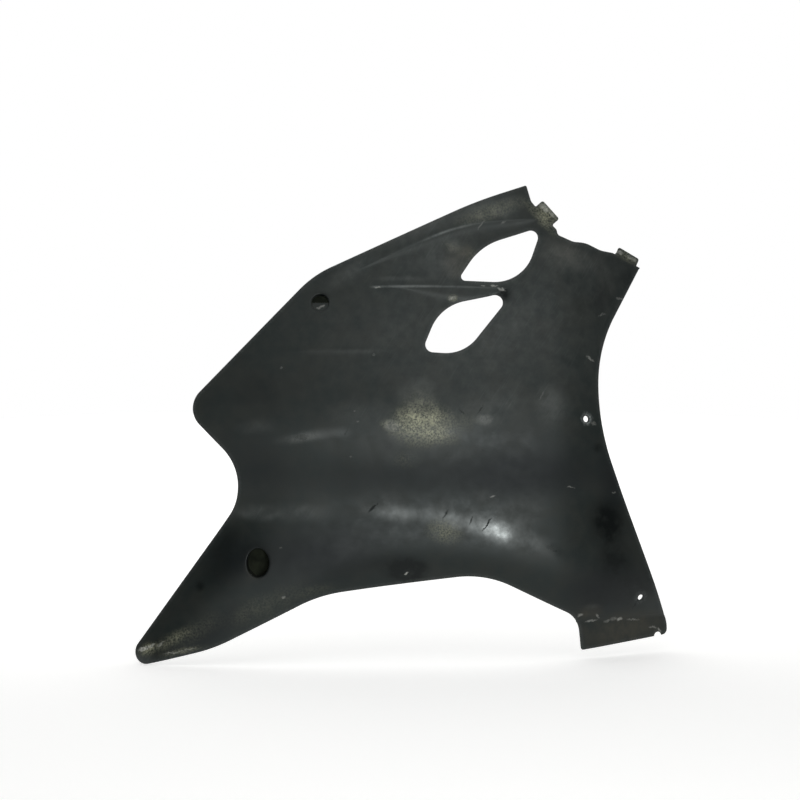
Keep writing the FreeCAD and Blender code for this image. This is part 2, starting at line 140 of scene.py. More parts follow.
LOWER_WELL_DEPTH = 16.0


def crease_sum(x, z):
    """How far the creases carry an unbent sheet outwards: the sum of slope times soft ramp."""
    straight = [(-CREST_LEAN, z - CREST_Z, CREST_BLEND), (-CREST_LEAN, CREST_Z - z, CREST_BLEND),
                (VALLEY_LEAN, VALLEY_Z - z, VALLEY_BLEND),
                (-FRONT_ROLL_LEAN, x - FRONT_ROLL_X, FRONT_ROLL_BLEND),
                (-CROWN_LEAN, x - CROWN_X, CROWN_BLEND), (-CROWN_LEAN, REAR_X - x, REAR_BLEND)]
    total = sum(tan_of(lean) * soft_ramp(distance, blend) for lean, distance, blend in straight)
    belly = soft_least([below_line(x, z, *line) for line in BELLY_LINES], BELLY_BLEND)
    gentle = tan_of(BELLY_TAIL_LEAN)
    belly_slope = gentle + (tan_of(BELLY_LEAN) - gentle) * ease(x / BELLY_FADE)
    shoulder = TAIL_ALONG[1] * (x - WAIST[0]) - TAIL_ALONG[0] * (z - WAIST[1]) + SHOULDER_WIDTH
    shoulder_slope = tan_of(SHOULDER_LEAN) * ease((SHOULDER_TOP_Z - z) / SHOULDER_FADE)
    bead = BEAD_HEIGHT * np.exp(-((z - BEAD_Z) / BEAD_WIDTH) ** 2)
    bead *= ease((x - BEAD_START_X) / BEAD_START_FADE) * ease((BEAD_END_X - x) / BEAD_END_FADE)
    return (bead + total - belly_slope * soft_ramp(belly, BELLY_BLEND)
            - shoulder_slope * soft_ramp(shoulder, SHOULDER_BLEND))


def skin_y(x, z):
    """Y of the unbroken skin, which stands the lower well's depth before y = 0 at the origin."""
    return crease_sum(0.0, 0.0) - crease_sum(x, z) - LOWER_WELL_DEPTH


print("skin at the crest, y in mm:", round(float(skin_y(CAMERA_PLACE[0], CREST_Z)), 2))

# %% [markdown]
# ## The scoops
# Behind each outlet the skin dips into a scoop, so that the skin in front stands proud and
# sheds the air rearwards. A scoop is bounded by planes: a long ramp from the rear, a floor,
# a lip and an end at the front, and an upper wall whose top line is the brow. Each plane has
# a depth below the skin, and the scoop's depth is the least of them. A hard least would leave
# knife-edges, and moulded plastic has none, so a power mean stands in for it.

# %% Planes of the scoops
SLOPE_STEP, TINY = 0.25, 1e-9
RAMP_CREASE, FLOOR_CREASE, WALL_CREASE, END_CREASE = 0.9, 0.8, 0.3, 1.5
BROW_BEND, LIP_SET_BACK, END_SET_BACK = 4.5, 8.0, 5.0
RAMP_SLOPE, FLOOR_SLOPE, LIP_SLOPE, END_SLOPE = 9.0, 11.3, 38.0, 20.0
# Corners of an outlet: x, z, radius. They go round from the rear tip over the top.
UPPER_VENT = [(228.3, 323.3, 4.9), (255.8, 364.6, 101.5), (327.6, 387.5, 8.4), (303.8, 320.3, 67.6)]
LOWER_VENT = [(186.7, 240.6, 8.9), (208.6, 293.9, 67.6), (293.9, 311.2, 9.0), (234.7, 237.5, 67.6)]
# A brow is: height over the rear tip, rise forward in degrees. The ramp starts a lead behind the tip.
UPPER_SCOOP = {"vent": UPPER_VENT, "lead": 130.0, "brows": [(65.0, 23.5), (68.5, 4.0)],
               "wall_slope": 34.0, "power": 1.4}
LOWER_SCOOP = {"vent": LOWER_VENT, "lead": 52.6, "brows": [(75.6, 0.0)],
               "wall_slope": 36.0, "power": 4.0}


def slopes(surface, x, z):
    """Rise of y along x and along z, by central differences."""
    return ((surface(x + SLOPE_STEP, z) - surface(x - SLOPE_STEP, z)) / (2 * SLOPE_STEP),
            (surface(x, z + SLOPE_STEP) - surface(x, z - SLOPE_STEP)) / (2 * SLOPE_STEP))


def dip_plane(x, z, start, fall, angle):
    """Plane that leaves the skin at a start point and dips below its tangent along a direction."""
    along_x, along_z = slopes(skin_y, *start)
    return (skin_y(*start) + (along_x + tan_of(angle) * fall[0]) * (x - start[0])
            + (along_z + tan_of(angle) * fall[1]) * (z - start[1]))


def wall_depth(x, z, scoop):
    """Depth of a scoop's upper wall below the skin. It is zero along the brow."""
    tip = np.array(scoop["vent"][0][:2])
    walls = []
    for rise, degrees in scoop["brows"]:
        angle = np.radians(degrees)
        fall = (np.sin(angle), -np.cos(angle))
        walls.append(dip_plane(x, z, tip + (0.0, rise), fall, scoop["wall_slope"]) - skin_y(x, z))
    return soft_least(walls, BROW_BEND)


def scoop_depth(x, z, scoop):
    """Depth of one scoop: the smooth least of its ramp, floor, lip, end and upper wall.

    Each plane's depth below the skin starts softly at zero. The least of them is a power mean
    with a negative power: the smaller the power, the rounder the hollow.
    """
    tip, _, nose, sill = (np.array(corner[:2]) for corner in scoop["vent"])
    front = (nose - sill) / np.linalg.norm(nose - sill)
    rearward = np.array((-front[1], front[0]))
    skin = skin_y(x, z)
    ramp = dip_plane(x, z, tip - (scoop["lead"], 0.0), (1.0, 0.0), RAMP_SLOPE) - skin
    floor = dip_plane(x, z, tip, (0.0, 1.0), FLOOR_SLOPE) - skin
    lip = dip_plane(x, z, nose + rearward * LIP_SET_BACK, rearward, LIP_SLOPE) - skin
    end = dip_plane(x, z, nose - (END_SET_BACK, 0.0), (-1.0, 0.0), END_SLOPE) - skin
    depths = [soft_ramp(wall_depth(x, z, scoop), WALL_CREASE), soft_ramp(ramp, RAMP_CREASE),
              soft_ramp(floor, FLOOR_CREASE), soft_ramp(lip, WALL_CREASE), soft_ramp(end, END_CREASE)]
    power = scoop["power"]
    return sum(np.maximum(depth, TINY) ** -power for depth in depths) ** (-1 / power)


def scooped_y(x, z):
    """The skin, set back by the depth of the two scoops."""
    return skin_y(x, z) + scoop_depth(x, z, UPPER_SCOOP) + scoop_depth(x, z, LOWER_SCOOP)


print("depth at the upper outlet's rear tip:",
      round(float(scooped_y(*UPPER_VENT[0][:2]) - skin_y(*UPPER_VENT[0][:2])), 2))

# %% [markdown]
# ## Outline
# The outline is a chain of corners, each with its own radius, as a draughtsman would give it:
# straight runs joined by arcs need few numbers and stay smooth. The two tongues belong to the
# same moulding, so they are four more corners each in the same line.

# %% Corners of the outline
REAR_EDGE = [(309.7, 436.9, 1.7), (250.2, 416.9, 600.0), (62.0, 329.1, 119.0), (-84.6, 175.9, 26.7),
             (*WAIST, 60.3), (*TAIL_TIP, 13.5), (-50.7, -98.2, 185.0), (70.2, -37.7, 152.0),
             (259.9, -14.1, 110.0), (370.0, -69.0, 30.0)]
LAP_HEEL, LAP_TOE = np.array((373.9, -108.1)), np.array((485.1, -97.9))
LOWER_FRONT = [(*LAP_HEEL, 3.0), (*LAP_TOE, 6.6), (485.0, -83.3, 45.0), (391.9, 153.5, 234.0),
               (391.9, 244.5, 166.0)]
# The worn upper front edge runs forward and down in steps from the top corner.
EDGE_STEPS = [(5.4, 19.6), (29.7, 33.1), (1.1, 6.0), (18.4, 7.6), (15.6, 0.6), (18.9, 8.0),
              (16.6, 1.9), (34.3, 16.5)]
EDGE_ROUNDS = [11.0, 4.5, 5.6, 18.0, 35.0, 32.0, 22.0, 2.3]
EDGE_PLACES = np.array(REAR_EDGE[0][:2]) + np.cumsum(EDGE_STEPS, axis=0) * (1.0, -1.0)
# A tongue is: the edge corner before it, its start along the run from there, its length, its reach.
TONGUES = [(0, 8.0, 29.0, 11.5), (6, 3.5, 30.0, 10.5)]
TONGUE_ROUND, TONGUE_ROOT_ROUND = 2.5, 0.8


def tongue_corners(start, end, first, length, reach):
    """Corners of a tongue on the run from start to end: out, along and back in."""
    along = (end - start) / np.linalg.norm(end - start)
    out = np.array((-along[1], along[0]))
    places = [(first, 0.0, TONGUE_ROOT_ROUND), (first, reach, TONGUE_ROUND),
              (first + length, reach, TONGUE_ROUND), (first + length, 0.0, TONGUE_ROOT_ROUND)]
    return [(*(start + along * run + out * past), radius) for run, past, radius in places]


upper_edge = []
for index, (place, radius) in enumerate(zip(EDGE_PLACES, EDGE_ROUNDS)):
    upper_edge.append((*place, radius))
    for root, *tongue in TONGUES:
        if root == index:
            upper_edge += tongue_corners(place, EDGE_PLACES[index + 1], *tongue)
corners = REAR_EDGE + LOWER_FRONT + upper_edge[::-1]
print("corners of the outline:", len(corners))

# %% [markdown]
# The corners become a loop of points an even distance apart, because even points make even
# triangles. The nick in the flange is pressed into the finished loop: points that lie under a
# small circle move up onto it.

# %% Loops from corners
RUN_SHARE, ARC_STEPS = 0.49, 24
OUTLINE_PITCH, FINE_PITCH, FEWEST_POINTS = 1.6, 0.3, 8
NICK_FROM_TOE, NICK_RADIUS, NICK_BAND = 12.5, 4.6, 1.0


def rounded_path(corners):
    """Straight runs joined by tangent arcs. Each arc swings from the start to the end radius."""
    corners = np.array(corners)
    place = corners[:, :2]
    before, after = np.roll(place, 1, axis=0) - place, np.roll(place, -1, axis=0) - place
    before_length, after_length = np.linalg.norm(before, axis=1), np.linalg.norm(after, axis=1)
    before, after = before / before_length[:, None], after / after_length[:, None]
    half = np.arccos(np.clip(np.sum(before * after, axis=1), -1.0, 1.0)) / 2
    run = np.minimum(corners[:, 2] / np.tan(half), RUN_SHARE * np.minimum(before_length, after_length))
    middle = (before + after) / np.linalg.norm(before + after, axis=1)[:, None]
    centre = place + middle * (run / np.cos(half))[:, None]
    turn = (np.pi - 2 * half)[:, None]
    share = np.linspace(0.0, 1.0, ARC_STEPS)
    first = (np.sin((1 - share) * turn) / np.sin(turn))[..., None]
    last = (np.sin(share * turn) / np.sin(turn))[..., None]
    start = (place + before * run[:, None] - centre)[:, None]
    end = (place + after * run[:, None] - centre)[:, None]
    return (centre[:, None] + first * start + last * end).reshape(-1, 2)


def even_loop(path, pitch):
    """The same closed path, with its points an even distance apart along it."""
    closed = np.vstack([path, path[:1]])
    length = np.concatenate([[0.0], np.cumsum(np.linalg.norm(np.diff(closed, axis=0), axis=1))])
    count = max(FEWEST_POINTS, round(length[-1] / pitch))
    marks = np.linspace(0.0, length[-1], count, endpoint=False)
    return np.column_stack([np.interp(marks, length, closed[:, axis]) for axis in (0, 1)])


def pressed_nick(path):
    """The path with a half-round pressed into it beside the flange's toe."""
    along = (LAP_HEEL - LAP_TOE) / np.linalg.norm(LAP_HEEL - LAP_TOE)
    up = np.array((along[1], -along[0]))
    offset = path - (LAP_TOE + along * NICK_FROM_TOE)
    depth = np.sqrt(np.clip(NICK_RADIUS ** 2 - (offset @ along) ** 2, 0.0, None))
    return path + up * (depth * (np.abs(offset @ up) < NICK_BAND))[:, None]


outline = even_loop(pressed_nick(even_loop(rounded_path(corners), FINE_PITCH)), OUTLINE_PITCH)
upper_vent = even_loop(rounded_path(UPPER_VENT), OUTLINE_PITCH)
lower_vent = even_loop(rounded_path(LOWER_VENT), OUTLINE_PITCH)
print("points on outline and outlets:", len(outline), len(upper_vent), len(lower_vent))

# %% [markdown]
# ## The visible face
# Below the fold the flange carries the skin's section straight down, a little set back, and
# each tongue lies a little behind the face. Both are steps in the same height formula, so the
# whole visible face stays one function of x and z, and no seam has to be closed there.

# %% Height and thickness of the face
FOLD_Z, FOLD_WIDTH, FLANGE_SET_BACK, FLANGE_FROM_X = -73.7, 1.6, 0.8, 345.0
TONGUE_SET_BACK, TONGUE_STEP, TONGUE_MARGIN = 1.2, 1.2, 3.0
WALL, TONGUE_WALL = 3.0, 2.4


def on_tongue(x, z):
    """How far a point is past the skin's edge on a tongue, as a smooth share from 0 to 1."""
    share = np.zeros_like(x + z)
    for root, first, length, reach in TONGUES:
        start, end = EDGE_PLACES[root], EDGE_PLACES[root + 1]
        along = (end - start) / np.linalg.norm(end - start)
        run = along[0] * (x - start[0]) + along[1] * (z - start[1])
        past = along[0] * (z - start[1]) - along[1] * (x - start[0])
        beside = (run > first - TONGUE_MARGIN) & (run < first + length + TONGUE_MARGIN)
        beside &= past < reach + TONGUE_MARGIN
        share = np.maximum(share, ease(past / TONGUE_STEP) * beside)
    return share


def face_y(x, z):
    """Y of the visible face: scooped skin, then the flange's and the tongues' steps."""
    below = ease((FOLD_Z - z) / FOLD_WIDTH + 0.5) * (x > FLANGE_FROM_X)
    straight = skin_y(x, FOLD_Z) + FLANGE_SET_BACK
    return scooped_y(x, z) * (1 - below) + straight * below + TONGUE_SET_BACK * on_tongue(x, z)


def face_normals(plan):
    """Outward unit normals of the visible face over points of the plan."""
    x, z = plan[:, 0], plan[:, 1]
    along_x, along_z = slopes(face_y, x, z)
    normal = np.column_stack([along_x, -np.ones_like(x), along_z])
    return normal / np.linalg.norm(normal, axis=1)[:, None]


def face_points(plan, depth):
    """Points a depth behind the visible face, along its normal, over points of the plan."""
    depth = np.broadcast_to(depth, len(plan))[:, None]
    on_face = np.column_stack([plan[:, 0], face_y(plan[:, 0], plan[:, 1]), plan[:, 1]])
    return on_face - face_normals(plan) * depth


def straight_behind(plan, depth):
    """Plan points whose layer at that depth lies straight behind the given ones, along Y."""
    return plan + face_normals(plan)[:, [0, 2]] * np.broadcast_to(depth, len(plan))[:, None]


def wall_at(plan):
    """Wall thickness: thinner on the tongues."""
    return WALL + (TONGUE_WALL - WALL) * on_tongue(plan[:, 0], plan[:, 1])


flange_ends = face_points(np.array([LAP_HEEL, LAP_TOE]), 0.0)
print("y at the flange's heel and toe in mm:", np.round(flange_ends[:, 1], 2))

# %% [markdown]
# ## Oval well
# A screw well keeps the screw's head below the face. It could be cut with a boolean, but a
# profile carried round a loop gives clean rings: over the mouth, down the wall, across the
# floor and up to the screw hole. The oval well sinks straight back along Y, with its floor at
# y = 0. No light comes through its hole in the photograph: dried mud fills it, level with the
# floor in front and a little hollow behind.

# %% Oval well
WELL_HALF_WIDTH, WELL_HALF_HEIGHT, WELL_MOUTH, WELL_FILLET, WELL_HOLE = 12.75, 16.5, 1.4, 2.5, 4.5
WELL_PITCH, OVAL_STEPS, WELL_ARC_STEPS, BACK_EDGE = 1.0, 360, 6, 1.0
FLOOR_SHARES, BACK_SHARES = (0.3, 0.6, 0.9, 0.98), (0.93, 0.5, 0.03)
# Rings of the mud: shares of the hole's radius, and behind also the depth under the floor.
MUD_SHARES = (1.0, 0.5, 0.0)
MUD_BACK = [(1.0, WALL - 0.3), (1.0, WALL - 0.8), (0.6, WALL - 0.9), (0.0, WALL - 0.7)]


def circle(radius, count):
    """Points of a circle round the plan's zero."""
    angle = np.linspace(0.0, 2 * np.pi, count, endpoint=False)
    return radius * np.column_stack([np.cos(angle), np.sin(angle)])


def into_material(loop, hole=False):
    """Unit direction at each point of a loop, square to it, that points into the plastic."""
    along = np.roll(loop, -1, axis=0) - np.roll(loop, 1, axis=0)
    along /= np.linalg.norm(along, axis=1)[:, None]
    area = np.sum(loop[:, 0] * np.roll(loop[:, 1], -1) - loop[:, 1] * np.roll(loop[:, 0], -1))
    left = np.column_stack([-along[:, 1], along[:, 0]])
    return left * (1.0 if (area > 0) != hole else -1.0)


def flat_ring(plan, y):
    """A ring of points at one depth."""
    return np.column_stack([plan[:, 0], np.full(len(plan), y), plan[:, 1]])


def arc_steps(count):
    """Sine and cosine pairs over a quarter turn."""
    angle = np.linspace(0.0, np.pi / 2, count)
    return list(zip(np.sin(angle), np.cos(angle)))


oval_well = even_loop(circle(1.0, OVAL_STEPS) * (WELL_HALF_WIDTH, WELL_HALF_HEIGHT), WELL_PITCH)
oval_out = into_material(oval_well, hole=True)
oval_angle = np.arctan2(oval_well[:, 1], oval_well[:, 0])
oval_hole = WELL_HOLE * np.column_stack([np.cos(oval_angle), np.sin(oval_angle)])
oval_mouth, oval_back = oval_well + oval_out * WELL_MOUTH, oval_well + oval_out * WALL


def oval_well_front():
    """Mouth round, wall, floor fillet, floor, then the mud in the screw hole."""
    inner = oval_well - oval_out * WELL_FILLET
    rings = [face_points(oval_well + oval_out * WELL_MOUTH * (1 - s), 0.0)
             + np.array((0.0, WELL_MOUTH * (1 - c), 0.0)) for s, c in arc_steps(WELL_ARC_STEPS)]
    rings += [flat_ring(oval_well - oval_out * WELL_FILLET * (1 - c), -WELL_FILLET * (1 - s))
              for s, c in arc_steps(WELL_ARC_STEPS)]
    rings += [flat_ring(inner * (1 - share) + oval_hole * share, 0.0) for share in FLOOR_SHARES]
    return rings + [flat_ring(oval_hole * share, 0.0) for share in MUD_SHARES]


def oval_well_back():
    """Hidden wall and floor, then the screw hole down to the mud from behind."""
    rings = [face_points(oval_back, WALL), flat_ring(oval_back, WALL - BACK_EDGE)]
    rings += [flat_ring(oval_hole * (1 - share) + oval_back * share, WALL) for share in BACK_SHARES]
    return rings + [flat_ring(oval_hole * share, depth) for share, depth in MUD_BACK]


print("points round the oval well:", len(oval_well))

# %% [markdown]
# ## Round well
# The round well faces up a little, so its rings stand square to a tilted axis. Where its tube
# meets the face there is no plain formula: each ring point slides along the axis until it lies
# on the face, in a few rounds of measuring the gap and closing it.

# %% Round well
ROUND_WELL_PLACE, ROUND_WELL_RADIUS, ROUND_WELL_DEPTH = (70.0, 297.0), 10.0, 3.6
ROUND_WELL_HOLE, ROUND_WELL_TILT, ROUND_WELL_MOUTH, ROUND_WELL_FILLET = 3.25, 22.0, 0.9, 1.2
ROUND_COUNT, ROUND_ARC_STEPS, SLIDES = 72, 5, 12
ROUND_FLOOR_RADII = (6.0, ROUND_WELL_HOLE + 0.25)
ROUND_BACK_EDGE = 0.8
ROUND_BACK_RADII = (ROUND_WELL_RADIUS + WALL - ROUND_BACK_EDGE, 8.0, ROUND_WELL_HOLE + 0.3)

tilt = np.radians(ROUND_WELL_TILT)
well_axis = np.array((0.0, -np.cos(tilt), np.sin(tilt)))
well_up = np.array((0.0, np.sin(tilt), np.cos(tilt)))
well_forward = np.array((1.0, 0.0, 0.0))
round_floor = face_points(np.array([ROUND_WELL_PLACE]), 0.0)[0] - well_axis * ROUND_WELL_DEPTH


def tilted_ring(radius, height):
    """A ring round the tilted well's axis, at a height over its floor."""
    plan = circle(radius, ROUND_COUNT)
    return round_floor + plan[:, :1] * well_forward + plan[:, 1:] * well_up + height * well_axis


def tilted_mouth(radius, depth):
    """Where a tube round the tilted axis meets the face, or a layer behind it."""
    height = np.zeros((ROUND_COUNT, 1))
    for _ in range(SLIDES):
        ring = tilted_ring(radius, height)
        target = face_points(ring[:, [0, 2]], depth)
        height += ((target - ring) @ well_axis)[:, None]
    return tilted_ring(radius, height)


round_mouth = tilted_mouth(ROUND_WELL_RADIUS + ROUND_WELL_MOUTH, 0.0)
round_back = tilted_mouth(ROUND_WELL_RADIUS + WALL, WALL)


def round_well_front():
    """Mouth round, wall, floor fillet, floor, then the mud in the screw hole."""
    rings = [tilted_mouth(ROUND_WELL_RADIUS + ROUND_WELL_MOUTH * (1 - s), 0.0)
             - well_axis * ROUND_WELL_MOUTH * (1 - c) for s, c in arc_steps(ROUND_ARC_STEPS)]
    rings += [tilted_ring(ROUND_WELL_RADIUS - ROUND_WELL_FILLET * (1 - c), ROUND_WELL_FILLET * (1 - s))
              for s, c in arc_steps(ROUND_ARC_STEPS)]
    rings += [tilted_ring(radius, 0.0) for radius in ROUND_FLOOR_RADII]
    return rings + [tilted_ring(ROUND_WELL_HOLE * share, 0.0) for share in MUD_SHARES]


def round_well_back():
    """Hidden wall and floor, then the screw hole down to the mud from behind."""
    rings = [face_points(round_back[:, [0, 2]], WALL),
             tilted_ring(ROUND_WELL_RADIUS + WALL, ROUND_BACK_EDGE - WALL)]
    rings += [tilted_ring(radius, -WALL) for radius in ROUND_BACK_RADII]
    return rings + [tilted_ring(ROUND_WELL_HOLE * share, -depth) for share, depth in MUD_BACK]


print("floor of the round well in mm:", np.round(round_floor, 2))

# %% [markdown]
# ## Front screw holes
# Two holes near the front edge are open and stand square to the skin, each in a shallow flat
# seat. Their rings run from the seat's edge through the bore to the hidden side, and the lower
# bore widens on its way back, so that the white behind it shows.

# %% Front screw holes
# A hole is: x, z, bore radius, seat radius, seat depth, and how far the bore widens behind.
SCREW_HOLES = {"edge": (376.0, 163.5, 3.6, 5.9, 0.6, 0.0), "foot": (447.5, -49.3, 3.3, 5.6, 0.4, 1.3)}
HOLE_COUNT, SEAT_MARGIN, SEAT_EDGE, SEAT_INSET, BORE_EDGE, BACK_INSET = 48, 0.5, 0.12, 0.3, 0.35, 0.3


def hole_ring(name, radius, depth):
    """A ring round a screw hole, at a depth behind the face, square to it at the hole."""
    place = np.array([SCREW_HOLES[name][:2]])
    normal = face_normals(place)[0]
    forward = np.cross((0.0, 0.0, 1.0), normal)
    forward /= np.linalg.norm(forward)
    plan = circle(radius, HOLE_COUNT)
    return face_points(place, depth)[0] + plan[:, :1] * forward + plan[:, 1:] * np.cross(normal, forward)


def hole_loop(name, grow):
    """The hole's seat, grown by a margin, in plan."""
    return hole_ring(name, SCREW_HOLES[name][3] + grow, 0.0)[:, [0, 2]]


def hole_rings(name):
    """Seat edge, flat seat, and a bore that may widen to its hidden mouth."""
    _, _, bore, seat, depth, flare = SCREW_HOLES[name]
    rim = hole_loop(name, SEAT_MARGIN)
    rings = [face_points(rim, 0.0), hole_ring(name, seat + SEAT_EDGE, SEAT_EDGE)]
    rings += [hole_ring(name, radius, depth) for radius in (seat - SEAT_INSET, bore + BORE_EDGE)]
    rings += [hole_ring(name, bore, depth + BORE_EDGE), hole_ring(name, bore + flare, WALL - BACK_INSET)]
    return rings + [face_points(rim, WALL)]


print("middle of each hole in mm:", {name: np.round(hole_ring(name, 1.0, 0.0).mean(axis=0), 1).tolist()
                                     for name in SCREW_HOLES})

# %% [markdown]
# ## Sheet
# The face is a grid of points over the plan, trimmed by the loops. Cutting a plain grid would
# leave a stepped edge, so a constrained Delaunay triangulation keeps every loop edge and fills
# the rest from the grid, which is finer over the scoops. The hidden side is a coarser sheet,
# one wall behind the face.

# %% Trim a sheet by its loops
WITHIN_EDGES, MERGE_LENGTH, BLOCK = 1, 1e-7, 400


def blocks(points):
    """The points in blocks, small enough to set each against every loop point at once."""
    return np.array_split(points, len(points) // BLOCK + 1)


def nearest(points, loops):
    """Distance from each point to the nearest loop point."""
    edge = np.vstack(loops)
    squares = [np.min(np.sum((block[:, None] - edge) ** 2, axis=2), axis=1) for block in blocks(points)]
    return np.sqrt(np.concatenate(squares))


def in_plastic(points, loops):
    """Whether a ray from each point along +X crosses the loops an odd number of times."""
    ends = np.vstack(loops)
    heads = np.vstack([np.roll(loop, -1, axis=0) for loop in loops])
    rise = np.where(heads[:, 1] == ends[:, 1], np.inf, heads[:, 1] - ends[:, 1])
    lean = (heads[:, 0] - ends[:, 0]) / rise
    odd = []
    for block in blocks(points):
        x, z = block[:, :1], block[:, 1:]
        spans = (ends[:, 1] > z) != (heads[:, 1] > z)
        odd.append(np.sum(spans & (x < ends[:, 0] + (z - ends[:, 1]) * lean), axis=1) % 2 == 1)
    return np.concatenate(odd)


def clear_grid(low, high, pitch, loops, clearance):
    """Points of a staggered grid that lie in the plastic and keep clear of every loop."""
    rows, columns = np.arange(low[1], high[1], pitch * np.sqrt(0.75)), np.arange(low[0], high[0], pitch)
    x, z = np.meshgrid(columns, rows)
    x[1::2] += pitch / 2
    points = np.column_stack([x.ravel(), z.ravel()])
    points = points[in_plastic(points, loops)]
    return points[nearest(points, loops) > clearance]


def trimmed_sheet(loops, grid):
    """Triangles over the plan between the loops. Loop points come first, grid points after.

    The triangulation stays within the first loop. A triangle with all its corners on the other
    loops may still lie in a hole, so those are tested.
    """
    points = np.vstack(loops + [grid])
    edges, start = [], 0
    for loop in loops:
        index = np.arange(start, start + len(loop))
        edges += np.column_stack([index, np.roll(index, -1)]).tolist()
        start += len(loop)
    _, _, faces, origin, _, _ = delaunay_2d_cdt(points.tolist(), edges, [], WITHIN_EDGES, MERGE_LENGTH)
    faces = np.array([ids[0] for ids in origin])[np.array(faces)]
    doubtful = np.all((faces >= len(loops[0])) & (faces < start), axis=1)
    kept = ~doubtful
    kept[doubtful] = in_plastic(points[faces[doubtful]].mean(axis=1), loops)
    return points, faces[kept]


vent_middle = upper_vent.mean(axis=0)[None]
print("is there plastic in the middle of an outlet:", in_plastic(vent_middle, [outline, upper_vent])[0])

# %% [markdown]
# The edges get rounded rims later, so each sheet stops a rim's width inside its loops. Over
# the scoops a finer grid takes the place of the coarse one, because the brows bend sharply.

# %% Face and hidden side
RIM_ROUND, BACK_ROUND = 1.0, 0.7
FRONT_PITCH, SCOOP_PITCH, BACK_PITCH = 2.6, 1.3, 5.0
FRONT_CLEARANCE, SCOOP_CLEARANCE, BACK_CLEARANCE = 1.3, 0.9, 2.0
SCOOP_LOW, SCOOP_HIGH = np.array((95.0, 232.0)), np.array((345.0, 405.0))


def back_edge(loop, into):
    """Where the hidden side ends: straight behind the loop, less the back rim's round."""
    return straight_behind(loop + into * BACK_ROUND, wall_at(loop))


edge_loops = {"outline": outline, "upper_vent": upper_vent, "lower_vent": lower_vent}
inward = {name: into_material(loop, hole=name != "outline") for name, loop in edge_loops.items()}
seats = [hole_loop(name, SEAT_MARGIN) for name in SCREW_HOLES]
front_loops = [edge_loops[name] + inward[name] * RIM_ROUND for name in edge_loops]
front_loops += [oval_mouth, round_mouth[:, [0, 2]], *seats]
back_loops = [back_edge(edge_loops[name], inward[name]) for name in edge_loops]
back_loops += [oval_back, round_back[:, [0, 2]], *seats]

low, high = outline.min(axis=0), outline.max(axis=0)
coarse = clear_grid(low, high, FRONT_PITCH, front_loops, FRONT_CLEARANCE)
by_scoops = np.all((coarse > SCOOP_LOW) & (coarse < SCOOP_HIGH), axis=1)
fine = clear_grid(SCOOP_LOW, SCOOP_HIGH, SCOOP_PITCH, front_loops, SCOOP_CLEARANCE)
front_plan, front_faces = trimmed_sheet(front_loops, np.vstack([coarse[~by_scoops], fine]))
behind = clear_grid(low, high, BACK_PITCH, back_loops, BACK_CLEARANCE)
back_plan, back_faces = trimmed_sheet(back_loops, behind)
print("triangles, face and hidden side:", len(front_faces), len(back_faces))

# %% [markdown]
# ## Rims
# A moulded edge is never sharp, and its round catches a thin line of light. A rounded profile,
# carried along each loop, joins the face to the hidden side. Then everything is welded into
# one closed skin: points that coincide are merged, the slits that are left at the tongues'
# roots are filled, and the faces are turned outwards.

# %% Rims and the closed skin
RIM_ARC_STEPS, BACK_ARC_STEPS, WELD = 5, 4, 0.02


def rim_rings(loop, into):
    """Front round, then back round: plan offset into the plastic against depth behind the face."""
    wall = wall_at(loop)
    steps = [(RIM_ROUND * (1 - s), RIM_ROUND * (1 - c)) for s, c in arc_steps(RIM_ARC_STEPS)]
    steps += [(BACK_ROUND * (1 - c), wall - BACK_ROUND * (1 - s)) for s, c in arc_steps(BACK_ARC_STEPS)]
    return [face_points(straight_behind(loop + into * offset, depth), depth) for offset, depth in steps]


def ring_quads(rings, start):
    """Quads between neighbouring rings of one closed band."""
    count = len(rings[0])
    index = start + np.arange(len(rings) * count).reshape(len(rings), count)
    ahead = np.roll(index, -1, axis=1)
    return np.stack([index[:-1], ahead[:-1], ahead[1:], index[1:]], axis=-1).reshape(-1, 4)


bands = [rim_rings(edge_loops[name], inward[name]) for name in edge_loops]
bands += [oval_well_front(), oval_well_back(), round_well_front(), round_well_back()]
bands += [hole_rings(name) for name in SCREW_HOLES]
vertices = [face_points(front_plan, 0.0), face_points(back_plan, wall_at(back_plan))]
faces = [front_faces.tolist(), (back_faces + len(vertices[0])).tolist()]
start = len(vertices[0]) + len(vertices[1])
for rings in bands:
    faces.append(ring_quads(rings, start).tolist())
    vertices.append(np.vstack(rings))
    start += len(vertices[-1])

mesh = bpy.data.meshes.new("side_panel_skin")
mesh.from_pydata(np.vstack(vertices) * MM, [], sum(faces, []))
welded = bmesh.new()
welded.from_mesh(mesh)
bmesh.ops.remove_doubles(welded, verts=welded.verts, dist=WELD * MM)
bmesh.ops.holes_fill(welded, edges=[edge for edge in welded.edges if edge.is_boundary], sides=0)
bmesh.ops.recalc_face_normals(welded, faces=welded.faces)
open_edges = sum(1 for edge in welded.edges if not edge.is_manifold)
welded.to_mesh(mesh)
welded.free()
mesh.shade_smooth()
panel = bpy.data.objects.new("side_panel_skin", mesh)
bpy.context.scene.collection.objects.link(panel)
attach(panel, "root")
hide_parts("side_panel")
mesh.calc_loop_triangles()
print("triangles:", len(mesh.loop_triangles), "edges that aren't closed:", open_edges)
